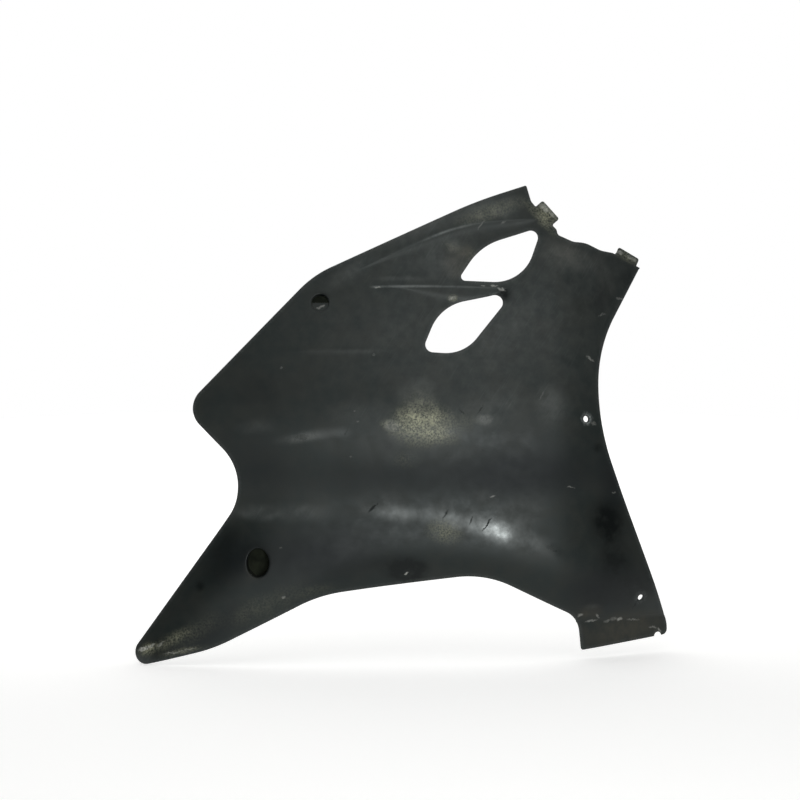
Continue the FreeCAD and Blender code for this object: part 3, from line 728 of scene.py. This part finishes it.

# %% [markdown]
# ## Where the wear, painted highlights and painted shade are
# Years of use left a dust film, a cream crust, greasy stains, and rubbed and muddy places.
# Among them lie painted light and shade. Some dust ovals are painted highlights and some grease
# ovals are painted shade. The shaded ovals are painted shade where the sheet turns away from the
# light or lies under a crease. A painted image could hold all that, but soft ovals need no
# file: each kind is a handful of them, worked out for every point of the mesh and kept with it
# as a value from 0 to 1. The material reads the values by name, so they stay on the panel as it moves.
# An oval is: x, z, half length and half width in mm, turn in degrees, strength.

# %% Soft patches
# Mostly dust; some ovals are painted highlights: on the crest, on the bead and on the upper rear edge.
DUST_AND_HIGHLIGHTS = [(189, 158, 63, 43, 0, 0.5), (184, 192, 40, 30, 0, 0.6), (224, 165, 45, 25, 10, 0.3),
        (267, 407, 58, 18, 18, 1.0), (288, 402, 20, 12, 18, 0.5), (215, 342, 40, 38, 0, 0.5),
        (225, 367, 19, 10, -20, 0.4), (164, 325, 41, 5, 0, 0.5), (355, 355, 46, 27, -15, 0.7),
        (396, 340, 50, 42, 0, 0.3), (335, 178, 28, 34, 0, 0.8), (270, 178, 60, 34, 0, 0.5),
        (118, 168, 55, 26, 0, 0.4), (37, 57, 75, 16, 0, 0.4), (65, 57, 30, 13, 0, 0.35),
        (-5, 57, 32, 14, 0, 0.45), (259, 163, 18, 12, 0, 0.6), (-1, 155, 31, 12, 5, 0.45),
        (282, 266, 69, 34, 50, 0.25), (253, 242, 149, 80, 0, 0.15), (196, 359, 93, 35, 25, 0.3),
        (206, 391, 115, 12, 23, 0.6), (329, 301, 58, 81, 0, 0.15), (162, 265, 126, 69, 0, 0.1),
        (260, 280, 330, 210, 0, 0.46), (-136, -112, 22, 13, 10, 1.0), (386, -56, 13, 5, 0, 0.5),
        (100, 241, 74, 4, 0, 0.3), (15, 52, 20, 6, 20, 0.4), (-15, 55, 16, 7, -20, 0.3),
        (50, 60, 14, 7, 40, 0.4), (108, 334, 50, 16, 32, 0.5), (55, 144, 48, 9, 10, 0.7),
        (95, 149, 16, 9, 0, 0.4)]
CRUST = [(186, 158, 45, 34, 0, 0.6), (163, 155, 24, 15, 10, 0.2), (204, 146, 34, 14, -14, 0.25),
         (196, 166, 30, 13, 14, 0.25), (184, 184, 28, 22, 0, 0.09), (224, 158, 36, 18, 10, 0.1),
         (146, 158, 11, 8, 0, 0.2), (170, 168, 22, 12, 0, 0.25), (335, 404, 21, 16, -55, 0.55),
         (326, 398, 36, 9, -50, 0.3), (436, 357, 27, 11, -22, 0.3), (-128, -101, 16, 9, 25, 0.8),
         (-100, -89, 40, 10, 30, 0.3), (-87, -101, 34, 5, 12, 0.3), (223, 303, 9, 6, 0, 0.4),
         (212, 36, 28, 19, -15, 0.3), (168, 118, 26, 14, 0, 0.06), (10, -48, 70, 20, 26, 0.06),
         (-70, -78, 50, 16, 32, 0.08), (60, -33, 40, 10, 12, 0.06), (-10, -52, 30, 10, 40, 0.04),
         (268, 405, 56, 14, 18, 0.2), (222, 362, 20, 9, -25, 0.1), (246, 350, 12, 18, 10, 0.08)]
# Mostly stains; the ovals in the two wells, on the chipped blade tip and on the tail's shoulder are painted
# shade.
GREASE_AND_SHADE = [(404, 43, 34, 44, 15, 0.8), (404, 40, 22, 28, 15, 0.5), (413, -4, 36, 34, 0, 0.7),
          (168, -10, 36, 24, 10, 1.0), (174, -9, 30, 18, 0, 1.0), (148, 2, 40, 18, 0, 0.35),
          (-50, -14, 46, 32, 45, 0.25), (-67, -28, 9, 8, 0, 0.6), (-40, 20, 34, 16, 45, 0.4),
          (281, 307, 13, 15, -40, 1.0), (390, 130, 8, 8, 0, 0.8), (148, 132, 9, 7, 0, 0.6),
          (1, 4, 26, 29, 0, 1.0), (71, 303, 14, 9, 0, 1.0), (420, -40, 74, 32, 0, 0.6),
          (-118, -92, 16, 4, 35, 0.5), (-112, -103, 22, 4, 12, 0.6)]
# Painted shade: each oval darkens the colour where the sheet turns away from the light.
SHADED = [(396, 303, 20, 23, 0, 0.4), (434, 328, 18, 29, 15, 0.35), (5, 197, 45, 30, 0, 0.3),
          (207, 99, 250, 40, 0, 0.7), (310, 108, 110, 60, 0, 0.8), (242, -1, 126, 20, -3, 0.15),
          (-30, 0, 50, 36, 50, 0.5), (405, -35, 85, 45, 0, 1.0), (70, 10, 150, 56, 6, 1.0),
          (412, 95, 30, 70, 0, 0.7), (-60, -80, 80, 24, 30, 0.8), (0, 110, 70, 60, 0, 0.5)]
RUBBED = [(56, 144, 50, 10, 10, 1.0), (95, 149, 16, 10, 0, 0.6), (196, 153, 79, 23, 0, 0.6),
          (258, 165, 25, 17, 0, 0.5), (156, 57, 46, 15, -4, 0.7), (219, 49, 60, 17, -12, 0.6),
          (274, 36, 46, 24, -18, 1.0), (333, 16, 37, 15, -25, 0.8)]
MUD = [(427, -87, 80, 28, 6, 1.0), (229, 345, 28, 32, 0, 0.7), (238, 358, 10, 11, 0, 0.6),
       (-5, -10, 14, 16, 0, 0.5), (355, 355, 44, 23, -15, 0.5), (384, -63, 24, 13, 8, 0.7)]
SIDEWAYS, FACING_GAIN = 0.5, 1.5


def oval_spot(x, z, place_x, place_z, half_length, half_width, turn):
    """1 in the middle of an oval, 0 from its rim on, with a smooth fall between."""
    angle = np.radians(turn)
    along = (np.cos(angle) * (x - place_x) + np.sin(angle) * (z - place_z)) / half_length
    across = (np.cos(angle) * (z - place_z) - np.sin(angle) * (x - place_x)) / half_width
    return ease(1.0 - np.hypot(along, across))


def patches(x, z, spots):
    """The spots' strengths added up, at most 1."""
    return np.clip(sum(strength * oval_spot(x, z, *spot) for *spot, strength in spots), 0.0, 1.0)


def keep_value(name, values):
    """Store one value per mesh point under a name."""
    mesh.attributes.new(name, "FLOAT", "POINT").data.foreach_set("value", values.astype(np.float32))


places, normals = np.empty(len(mesh.vertices) * 3), np.empty(len(mesh.vertices) * 3)
mesh.vertices.foreach_get("co", places)
mesh.vertices.foreach_get("normal", normals)
places, normals = places.reshape(-1, 3) / MM, normals.reshape(-1, 3)
x, z = places[:, 0], places[:, 2]
# 1 on the visible face and 0 on the hidden side, which has no wear
outward = ease(SIDEWAYS - FACING_GAIN * normals[:, 1])
layers = {"dust_and_highlight": DUST_AND_HIGHLIGHTS, "crust": CRUST, "grease_and_shade": GREASE_AND_SHADE, "shaded": SHADED, "rubbed": RUBBED, "mud": MUD}
for name, spots in layers.items():
    keep_value(name, patches(x, z, spots) * outward)
keep_value("outward", outward)
print("share of the points with each wear:",
      {name: round(float(np.mean(patches(x, z, spots) > 0)), 2) for name, spots in layers.items()})

# %% [markdown]
# Edges are rubbed pale too, and the brows of the scoops carry a pale line that is partly wear
# and partly a painted highlight on the crease. Here the value falls off with the distance from a
# loop, or from the brow of a scoop. One screw hole has a pale ring painted on its seat, a
# painted highlight on the seat's rounded edge, which is narrower and far stronger than the wear
# of an edge.

# %% Worn edges and brows
EDGE_WEAR_WIDTH, BROW_PALE_WIDTH = 5.0, 1.3
RING_WIDTH, RING_STRENGTH, RING_INSET = 1.7, 6.0, -0.5
# Where the pale line on a brow starts, is full and ends, along x.
UPPER_BROW_PALE_LINE, LOWER_BROW_PALE_LINE = (180.0, 205.0, 268.0), (125.0, 138.0, 282.0)


def near_loops(plan, loops, width):
    """1 on the loops, 0 from a width away on."""
    return np.clip(1.0 - nearest(plan, loops) / width, 0.0, 1.0)


def along_brow(x, z, scoop, start, full, end):
    """1 on a scoop's brow line between two stations, where the crease is pale: partly wear, partly a
    painted highlight.
    """
    line = np.clip(1.0 - np.abs(wall_depth(x, z, scoop)) / BROW_PALE_WIDTH, 0.0, 1.0)
    return line * ease((x - start) / (full - start)) * ease((end - x) / (end - full))


plan = places[:, [0, 2]]
edge_wear_and_ring_highlight = near_loops(plan, [*edge_loops.values(), hole_loop("foot", 0.0)], EDGE_WEAR_WIDTH)
# The ring on the seat is a painted highlight, far stronger than the wear of an edge.
edge_wear_and_ring_highlight += RING_STRENGTH * near_loops(plan, [hole_loop("edge", RING_INSET)], RING_WIDTH)
# The brow lines are partly wear and partly a painted highlight on the crease.
brow_wear_and_highlight = along_brow(x, z, UPPER_SCOOP, *UPPER_BROW_PALE_LINE)
brow_wear_and_highlight += along_brow(x, z, LOWER_SCOOP, *LOWER_BROW_PALE_LINE)
keep_value("edge", edge_wear_and_ring_highlight * outward)
keep_value("brow", np.clip(brow_wear_and_highlight, 0.0, 1.0) * outward)
print("values kept:", [layer.name for layer in mesh.attributes if layer.data_type == "FLOAT"])

# %% [markdown]
# ## Worn black ABS
# The panel is ABS, moulded in black: a dense dark plastic with a thin, cool sheen. Years
# outdoors have taken its gloss, which comes back where it is rubbed. The material is built in
# steps, and one small function adds each node. Colours are written as on a screen, in sRGB.

# %% Colours and nodes
BARE_PLASTIC = "#1e2322"
# Sockets of a Mix node that mixes colours
MIX_A, MIX_B, MIX_RESULT = 6, 7, 2


def linear(hex_colour):
    """Linear RGBA of an sRGB hex colour."""
    srgb = np.array([int(hex_colour[i:i + 2], 16) for i in (1, 3, 5)]) / 255
    return (*np.where(srgb <= 0.04045, srgb / 12.92, ((srgb + 0.055) / 1.055) ** 2.4), 1.0)


def add(tree, kind, inputs=None, output=0, **settings):
    """Add a node, set its settings, set or link its inputs and return one of its outputs."""
    node = tree.nodes.new("ShaderNode" + kind)
    for name, value in settings.items():
        setattr(node, name, value)
    for socket, value in (inputs or {}).items():
        if isinstance(value, bpy.types.NodeSocket):
            tree.links.new(value, node.inputs[socket])
        else:
            node.inputs[socket].default_value = value
    return node.outputs[output]


print("black of the plastic, linear:", np.round(linear(BARE_PLASTIC)[:3], 4))

# %% [markdown]
# Wear is never even, so noise of several sizes breaks it up: the slow ripple of the sheet,
# clouds and mottle in the film, the speckle of the crust and the grain of the mould. Hairlines
# are noise stretched along one direction. Moulded grain is about 0.2 mm wide, too fine to show
# here, so it is drawn nearly four times as coarse.

# %% Patterns of the worn plastic
# A pattern is: size in mm, detail, roughness.
PATTERNS = {"ripple": (62.5, 1.0, 0.5), "clouds": (35.714, 3.0, 0.5), "mottle": (12.5, 5.0, 0.6),
            "speckle": (2.1739, 3.0, 0.65), "grain": (0.76923, 1.0, 0.5)}
HAIRLINE_LENGTH, HAIRLINE_WIDTH, HAIRLINE_TURN = 25.0, 1.6, -58.0

skin_abs = bpy.data.materials.new("worn_black_moulded_abs")
skin_abs.use_nodes = True
tree = skin_abs.node_tree
here = add(tree, "TexCoord", output="Object")
worn = {name: add(tree, "Attribute", output="Fac", attribute_name=name)
        for name in (*layers, "edge", "brow", "outward")}
patterns = {name: add(tree, "TexNoise", {"Vector": here, "Scale": 1 / (size * MM), "Detail": detail,
                                         "Roughness": rough})
            for name, (size, detail, rough) in PATTERNS.items()}
combed = add(tree, "Mapping", {"Vector": here, "Rotation": (0.0, np.radians(HAIRLINE_TURN), 0.0),
                               "Scale": np.array((HAIRLINE_LENGTH, HAIRLINE_LENGTH, HAIRLINE_WIDTH)) * MM},
             vector_type="TEXTURE")
patterns["hairlines"] = add(tree, "TexNoise", {"Vector": combed, "Scale": 1.0, "Detail": 1.0})
print("patterns:", list(patterns))

# %% [markdown]
# Flecks of chipped or scraped plastic, small painted highlights, dark scratches and a painted
# shadow inside one screw hole are too thin for the mesh's points to hold, so each is a round
# gradient in the material, stretched and turned. Its coordinates are shaken a little by noise,
# which makes its edge ragged.
# A mark is: x, z, half length and half width in mm, turn in degrees, strength.

# %% Flecks, painted highlights and scratches
# Mostly chips and scrapes; some are painted highlights: the tail tip's streak, spots on the crest and the
# oval well's ledge.
FLECKS_AND_HIGHLIGHTS = [(358, 85, 6, 1.2, -10, 0.25), (267, 75, 4.6, 1.3, 10, 0.25), (412, 77, 3.5, 1.8, 0, 0.2),
          (110, 173, 2.2, 1.6, 0, 0.1), (114, 161, 2.2, 1.6, 0, 0.1), (27, 222, 2.2, 1.6, 0, 0.1),
          (132, 237, 2.6, 1.6, 0, 0.1), (106, 121, 2.2, 1.6, 0, 0.1), (26, 17, 2.4, 1.8, 0, 0.12),
          (29, -39, 3.2, 2.2, 0, 0.25), (382, 233, 7.5, 2.0, -35, 0.25), (422, 305, 6.5, 2.0, -10, 0.16),
          (398, 285, 6.4, 1.8, 20, 0.12), (323, 190, 8.0, 1.3, 60, 0.08), (169, -13, 3.0, 1.6, 30, 0.6),
          (258, 317, 4.0, 1.2, 0, 0.3), (270, 317, 6.0, 1.4, 0, 0.4), (222, 303, 6.0, 3.4, 10, 0.25),
          (256, 389, 9.0, 1.3, 55, 0.14), (282, 392, 4.6, 1.5, 30, 0.14), (372, -66, 4.5, 3.0, 20, 0.35),
          (386, -74, 10.0, 1.4, 6, 0.3), (394, -69, 4.5, 1.6, -50, 0.3), (406, -76, 6.0, 2.0, 10, 0.2),
          (415, -74, 7.0, 3.0, 0, 0.16), (423, -75, 5.0, 2.2, 15, 0.45), (440, -77, 11.0, 1.4, -6, 0.2),
          (466, -88, 8.0, 1.6, -6, 0.2), (475, -93, 5.0, 1.8, -60, 0.3), (-133, -101, 9.0, 3.0, 18, 0.8),
          (-124, -97, 8.0, 2.6, 30, 0.55), (-112, -94, 8.0, 2.0, 36, 0.25),
          (-98, -103, 14.0, 1.2, 8, 0.25), (-80, -99, 14.0, 1.1, 10, 0.2), (385, 158, 4.0, 3.4, 0, 0.16),
          (136, 315, 5.0, 1.6, 0, 0.35), (279, 313, 6.5, 2.2, -20, 0.4), (331, 410, 9.0, 5.0, -50, 0.35),
          (340, 402, 8.0, 3.0, -50, 0.3), (424, 361, 7.0, 3.0, -15, 0.35),
          (440, 355, 12.0, 3.4, -22, 0.25), (52, 143, 26, 7, 9, 0.05), (153, 156, 14, 9, -15, 0.14),
          (258, 163, 12, 8, 0, 0.1), (5, -10, 6.5, 2.0, 42, 0.2), (71, 292, 6.5, 1.7, 22, 0.3)]
# Dark scratches; the mark at x 373, z 166 is a painted shadow inside a screw hole's bore.
SCRATCHES_AND_HOLE_SHADE = [(131, 63, 10.0, 1.3, 42, 0.7), (213, 54, 9.0, 1.1, 65, 0.5), (261, 43, 11.0, 1.4, 55, 0.7),
             (253, 174, 9.1, 1.2, 60, 0.5), (101, 149, 8.0, 1.0, 70, 0.35),
             (442, -56, 11.9, 1.3, 60, 0.5), (373, 166, 5.0, 2.6, 45, 1.0), (243, 48, 7.0, 1.1, 62, 0.5),
             (232, 172, 8.0, 1.1, -40, 0.4)]
SHAKE_SIZE, SHAKE_REACH = 3.8462, 2.4
MARK_RIM, MARK_CORE, MARK_THROUGH = 0.1, 0.6, 3000.0

shake = add(tree, "TexNoise", {"Vector": here, "Scale": 1 / (SHAKE_SIZE * MM), "Detail": 2.0},
            output="Color")
centred = add(tree, "VectorMath", {0: shake, 1: (0.5, 0.5, 0.5)}, operation="SUBTRACT")
ragged = add(tree, "VectorMath", {0: centred, 1: np.full(3, 2 * SHAKE_REACH * MM), 2: here},
             operation="MULTIPLY_ADD")


def marks(rows):
    """The strongest of several stretched round gradients, on the visible face only."""
    most = 0.0
    for place_x, place_z, half_length, half_width, turn, strength in rows:
        inside = add(tree, "Mapping", {"Vector": ragged, "Location": np.array((place_x, 0.0, place_z)) * MM,
                                       "Rotation": (0.0, -np.radians(turn), 0.0),
                                       "Scale": np.array((half_length, MARK_THROUGH, half_width)) * MM},
                     vector_type="TEXTURE")
        round_mark = add(tree, "TexGradient", {"Vector": inside}, output="Fac", gradient_type="SPHERICAL")
        mark = add(tree, "MapRange", {"Value": round_mark, "From Min": MARK_RIM, "From Max": MARK_CORE,
                                      "To Max": strength})
        most = add(tree, "Math", {0: most, 1: mark}, operation="MAXIMUM")
    return add(tree, "Math", {0: most, 1: worn["outward"]}, operation="MULTIPLY")


worn["flecks_and_highlights"], worn["scratches_and_shade"] = marks(FLECKS_AND_HIGHLIGHTS), marks(SCRATCHES_AND_HOLE_SHADE)
print("flecks and scratches:", len(FLECKS_AND_HIGHLIGHTS), len(SCRATCHES_AND_HOLE_SHADE))

# %% [markdown]
# Crust, grease and mud lie in clots, so their values rise and fall with a pattern first. The
# colour is then built up one coat over another: bleached black, painted shade, dust with some
# painted highlights, mud, grease with some painted shade, crust, pale edges and brows with
# painted highlights on the brows and one hole's seat, hairlines, flecks with some painted
# highlights, and scratches with one painted shadow.

# %% Coats of colour
CLOT_LOW, CLOT_HIGH = 0.36, 0.62
# Wear in clots: the pattern, then the weight where the pattern is low and where it is high.
CLOTS = {"crust": ("speckle", 0.05, 1.3), "grease_and_shade": ("mottle", 0.6, 1.5), "mud": ("mottle", 0.6, 1.3)}
# A coat is: wear, pattern, its low and high value, the coat's share at each, colour.
COATS = [("everywhere", "clouds", 0.42, 0.6, 0.0, 1.0, "#232624"),
         ("everywhere", "mottle", 0.45, 0.65, 0.0, 0.5, "#252825"),
         # painted shade, a blue-black, over the shaded ovals
         ("shaded", "mottle", 0.3, 0.7, 1.0, 1.0, "#070b0e"),
         ("dust_and_highlight", "mottle", 0.3, 0.7, 0.09, 0.2, "#8a8e8c"),
         ("mud", "mottle", 0.3, 0.7, 0.1, 0.1, "#8c8270"),
         ("grease_and_shade", "mottle", 0.3, 0.7, 0.97, 0.97, "#030606"),
         ("crust", "mottle", 0.3, 0.7, 0.3, 0.7, "#c4c5a6"),
         # pale edges, and a painted highlight ring on one screw hole's seat
         ("edge", "speckle", 0.4, 0.7, 0.02, 0.13, "#9aa09f"),
         # pale brows: wear and a painted highlight on the crease
         ("brow", "mottle", 0.35, 0.6, 0.08, 0.3, "#aab0ae"),
         ("dust_and_highlight", "hairlines", 0.6, 0.75, 0.0, 0.03, "#aab0ae"),
         ("flecks_and_highlights", "speckle", 0.35, 0.55, 0.3, 0.8, "#d2d3cc"),
         ("scratches_and_shade", "mottle", 0.3, 0.7, 0.8, 0.8, "#0c0f0f")]

laid = {"everywhere": 1.0, **worn}
for wear, (pattern, least, most) in CLOTS.items():
    weight = add(tree, "MapRange", {"Value": patterns[pattern], "From Min": CLOT_LOW, "From Max": CLOT_HIGH,
                                    "To Min": least, "To Max": most})
    clotted = add(tree, "Math", {0: worn[wear], 1: weight}, operation="MULTIPLY")
    laid[wear] = add(tree, "Math", {0: clotted, 1: 1.0}, operation="MINIMUM")
colour = linear(BARE_PLASTIC)
for wear, pattern, low_value, high_value, low_share, high_share, coat in COATS:
    share = add(tree, "MapRange", {"Value": patterns[pattern], "From Min": low_value,
                                   "From Max": high_value, "To Min": low_share, "To Max": high_share})
    share = add(tree, "Math", {0: laid[wear], 1: share}, operation="MULTIPLY")
    colour = add(tree, "Mix", {0: share, MIX_A: colour, MIX_B: linear(coat)}, output=MIX_RESULT,
                 data_type="RGBA")
print("coats:", len(COATS))

# %% [markdown]
# Roughness follows the same wear: dust, crust and mud blunt the sheen, grease and rubbing bring
# it back. The ripple of the sheet breaks up the long highlights, as it does on any thin
# moulding, and the crust is a little pitted. Old ABS mirrors less than clean plastic, and the
# faint green of its sheen is in the tint.

# %% Sheen and relief of the plastic
SHEEN_PATTERN, SHEEN_LOW, SHEEN_HIGH = "mottle", 0.35, 0.65
SMOOTHEST, ROUGHEST = 0.43, 0.52
ROUGHER = {"dust_and_highlight": 0.06, "crust": 0.15, "mud": 0.12, "grease_and_shade": -0.1, "scratches_and_shade": 0.5, "rubbed": -0.27}
RIPPLE_HEIGHT, PIT_HEIGHT, GRAIN_HEIGHT = 1.4, 0.5, 0.01
ABS_IOR, ABS_SPECULAR, ABS_TINT = 1.5, 0.22, "#f7fffe"

roughness = add(tree, "MapRange", {"Value": patterns[SHEEN_PATTERN], "From Min": SHEEN_LOW,
                                   "From Max": SHEEN_HIGH, "To Min": SMOOTHEST, "To Max": ROUGHEST})
for wear, change in ROUGHER.items():
    roughness = add(tree, "Math", {0: laid[wear], 1: change, 2: roughness}, operation="MULTIPLY_ADD")

pits = add(tree, "Math", {0: patterns["speckle"], 1: worn["crust"]}, operation="MULTIPLY")
relief = add(tree, "Bump", {"Height": patterns["ripple"], "Distance": RIPPLE_HEIGHT * MM, "Strength": 1.0})
for height, distance in [(pits, PIT_HEIGHT), (patterns["grain"], GRAIN_HEIGHT)]:
    relief = add(tree, "Bump", {"Height": height, "Distance": distance * MM, "Strength": 1.0,
                                "Normal": relief})

plastic = tree.nodes["Principled BSDF"]
plastic.inputs["IOR"].default_value = ABS_IOR
plastic.inputs["Specular IOR Level"].default_value = ABS_SPECULAR
plastic.inputs["Specular Tint"].default_value = linear(ABS_TINT)
tree.links.new(colour, plastic.inputs["Base Color"])
tree.links.new(roughness, plastic.inputs["Roughness"])
tree.links.new(relief, plastic.inputs["Normal"])
mesh.materials.append(skin_abs)
print("nodes in the material:", len(tree.nodes))

# %% [markdown]
# ## Dried mud and painted shade in the wells
# A dark matt film lines the floor of the oval well and the upper part of the round one. In the
# oval well it is partly dried mud, fine earth, matt through and through, and partly painted
# shade; in the round well it is painted shade under the upper wall. So the wells look like dark
# pits beside the sheen of the plastic. It could be one more coat, but the plastic's sheen would
# still show through, so the faces under the film get a material of their own.

# %% Mud and painted shade in the wells
FILM_REACH, ROUND_SHADE_FROM_Z = 0.98, 297.0
OVAL_FILM_FRONT, OVAL_FILM_BACK, ROUND_SHADE_HALF = -6.0, 1.0, 1.0
EARTH_SIZE, EARTH_LOW, EARTH_HIGH, EARTH_ROUGHNESS, EARTH_SPECULAR = 11.111, 0.4, 0.65, 0.95, 0.05

# A dark matt film: dried mud, and painted shade where the wells' walls shade them.
mud_and_shade_film = bpy.data.materials.new("dried_mud_and_well_shade")
mud_and_shade_film.use_nodes = True
tree = mud_and_shade_film.node_tree
here = add(tree, "TexCoord", output="Object")
earth = add(tree, "TexNoise", {"Vector": here, "Scale": 1 / (EARTH_SIZE * MM), "Detail": 4.0})
share = add(tree, "MapRange", {"Value": earth, "From Min": EARTH_LOW, "From Max": EARTH_HIGH})
colour = add(tree, "Mix", {0: share, MIX_A: linear("#171a15"), MIX_B: linear("#24271f")}, output=MIX_RESULT,
             data_type="RGBA")
film = tree.nodes["Principled BSDF"]
film.inputs["Roughness"].default_value = EARTH_ROUGHNESS
film.inputs["Specular IOR Level"].default_value = EARTH_SPECULAR
tree.links.new(colour, film.inputs["Base Color"])
mesh.materials.append(mud_and_shade_film)

middles = np.empty(len(mesh.polygons) * 3)
mesh.polygons.foreach_get("center", middles)
middles = middles.reshape(-1, 3) / MM
in_oval = np.hypot(middles[:, 0] / WELL_HALF_WIDTH, middles[:, 2] / WELL_HALF_HEIGHT) < FILM_REACH
in_oval &= (middles[:, 1] > OVAL_FILM_FRONT) & (middles[:, 1] < OVAL_FILM_BACK)
above = (middles - round_floor) @ well_axis
beside = np.linalg.norm(middles - round_floor - above[:, None] * well_axis, axis=1)
in_round = (beside < ROUND_WELL_RADIUS * FILM_REACH) & (np.abs(above) < ROUND_SHADE_HALF)
in_round &= middles[:, 2] > ROUND_SHADE_FROM_Z
# Faces in the wells get the film of mud and painted shade.
mesh.polygons.foreach_set("material_index", (in_oval | in_round).astype(np.int32))
print("faces under mud:", int(np.sum(in_oval)), int(np.sum(in_round)))

# %% [markdown]
# ## Light and backdrop
# The photograph is a cut-out on white. So the floor and the world look white to the eye, by a
# switch on the kind of ray, while the world's light on the panel is weaker. Two lamps stand
# by the camera, a wide one for the long highlights and a small one low on the right for the
# bright spot on the belly. A sheen mirrors what stands around it, so dark cards, which the
# camera doesn't see, stand at the nose, at the tail, behind the camera and on the floor in
# front: they let the rolled edges fall off. The card on the floor neither shades nor tints it.

# %% Floor, cards and lamps
FLOOR_GAP = 0.5
WORLD_LEVEL, FLOOR_LIFT, MATT = 0.8, 0.5, 0.9
WHITE, PALE_PAPER, DARK_CARD, GREY_CARD = "#ffffff", "#eeeeec", "#303132", "#5a5b5c"
FLOOR_SHEET = [(-6000, -6000), (6000, -6000), (6000, 30000), (-6000, 30000)]
SIDE_CARD = [(-1900, -110), (250, -110), (250, 1100), (-1900, 1100)]
BACK_CARD = [(-2200, -110), (2200, -110), (2200, 1700), (-2200, 1700)]
FLOOR_CARD = [(-900, -2300), (900, -2300), (900, -620), (-900, -620)]
NOSE_CARD_X, TAIL_CARD_X, BACK_CARD_Y, FLOOR_CARD_Z = 1000, -800, -2300, -112


def eye_share(tree):
    """1 for rays that show a background: straight to the camera, by a reflection or through glass."""
    path = add(tree, "LightPath").node.outputs
    direct = add(tree, "Math", {0: path["Is Camera Ray"], 1: path["Is Glossy Ray"]}, operation="MAXIMUM")
    return add(tree, "Math", {0: direct, 1: path["Is Transmission Ray"]}, operation="MAXIMUM")


def stage_plane(name, corners, colour, seen=False):
    """One flat card or floor from its four corners, in matt paper that gives no highlight."""
    sheet = bpy.data.meshes.new(name)
    sheet.from_pydata(np.array(corners) * MM, [], [(0, 1, 2, 3)])
    plane = bpy.data.objects.new(name, sheet)
    paper = bpy.data.materials.new(name + "_matt_paper")
    paper.use_nodes = True
    coat = paper.node_tree.nodes["Principled BSDF"]
    coat.inputs["Base Color"].default_value = linear(colour)
    coat.inputs["Roughness"].default_value = MATT
    sheet.materials.append(paper)
    bpy.context.scene.collection.objects.link(plane)
    plane.visible_camera = seen
    return plane


def soft_lamp(name, place, aim, size, watts):
    """A rectangular lamp at a place, turned to an aim point, in millimetres."""
    data = bpy.data.lights.new(name, "AREA")
    data.shape = "RECTANGLE"
    data.size, data.size_y = size[0] * MM, size[1] * MM
    data.energy = watts
    lamp = bpy.data.objects.new(name, data)
    lamp.location = np.array(place) * MM
    lamp.rotation_euler = Vector(np.array(aim) - np.array(place)).to_track_quat("-Z", "Z").to_euler()
    bpy.context.scene.collection.objects.link(lamp)


floor_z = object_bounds()[0][2] / MM - FLOOR_GAP
floor = stage_plane("studio_floor", [(x, y, floor_z) for x, y in FLOOR_SHEET], PALE_PAPER, seen=True)
tree = floor.active_material.node_tree
glow = tree.nodes["Principled BSDF"].inputs
glow["Emission Color"].default_value = linear(WHITE)
lift = add(tree, "Math", {0: eye_share(tree), 1: FLOOR_LIFT}, operation="MULTIPLY")
tree.links.new(lift, glow["Emission Strength"])
for name, card_x in [("card_at_nose", NOSE_CARD_X), ("card_at_tail", TAIL_CARD_X)]:
    stage_plane(name, [(card_x, y, z) for y, z in SIDE_CARD], DARK_CARD)
stage_plane("card_behind_camera", [(x, BACK_CARD_Y, z) for x, z in BACK_CARD], GREY_CARD)
floor_card = stage_plane("card_on_floor", [(x, y, FLOOR_CARD_Z) for x, y in FLOOR_CARD], DARK_CARD)
floor_card.visible_shadow = False
floor_card.visible_diffuse = False
soft_lamp("key_by_camera", (265, -1700, 60), (180, 0, 150), (350, 180), 6.3)
soft_lamp("low_lamp_right", (585, -1600, -30), (280, 0, 40), (170, 120), 8.6)

scene = bpy.context.scene
scene.view_settings.view_transform = "Standard"
scene.world = bpy.data.worlds.new("white_studio")
scene.world.use_nodes = True
tree = scene.world.node_tree
level = add(tree, "MapRange", {"Value": eye_share(tree), "To Min": WORLD_LEVEL})
tree.links.new(level, tree.nodes["Background"].inputs["Strength"])
tree.nodes["Background"].inputs["Color"].default_value = linear(WHITE)
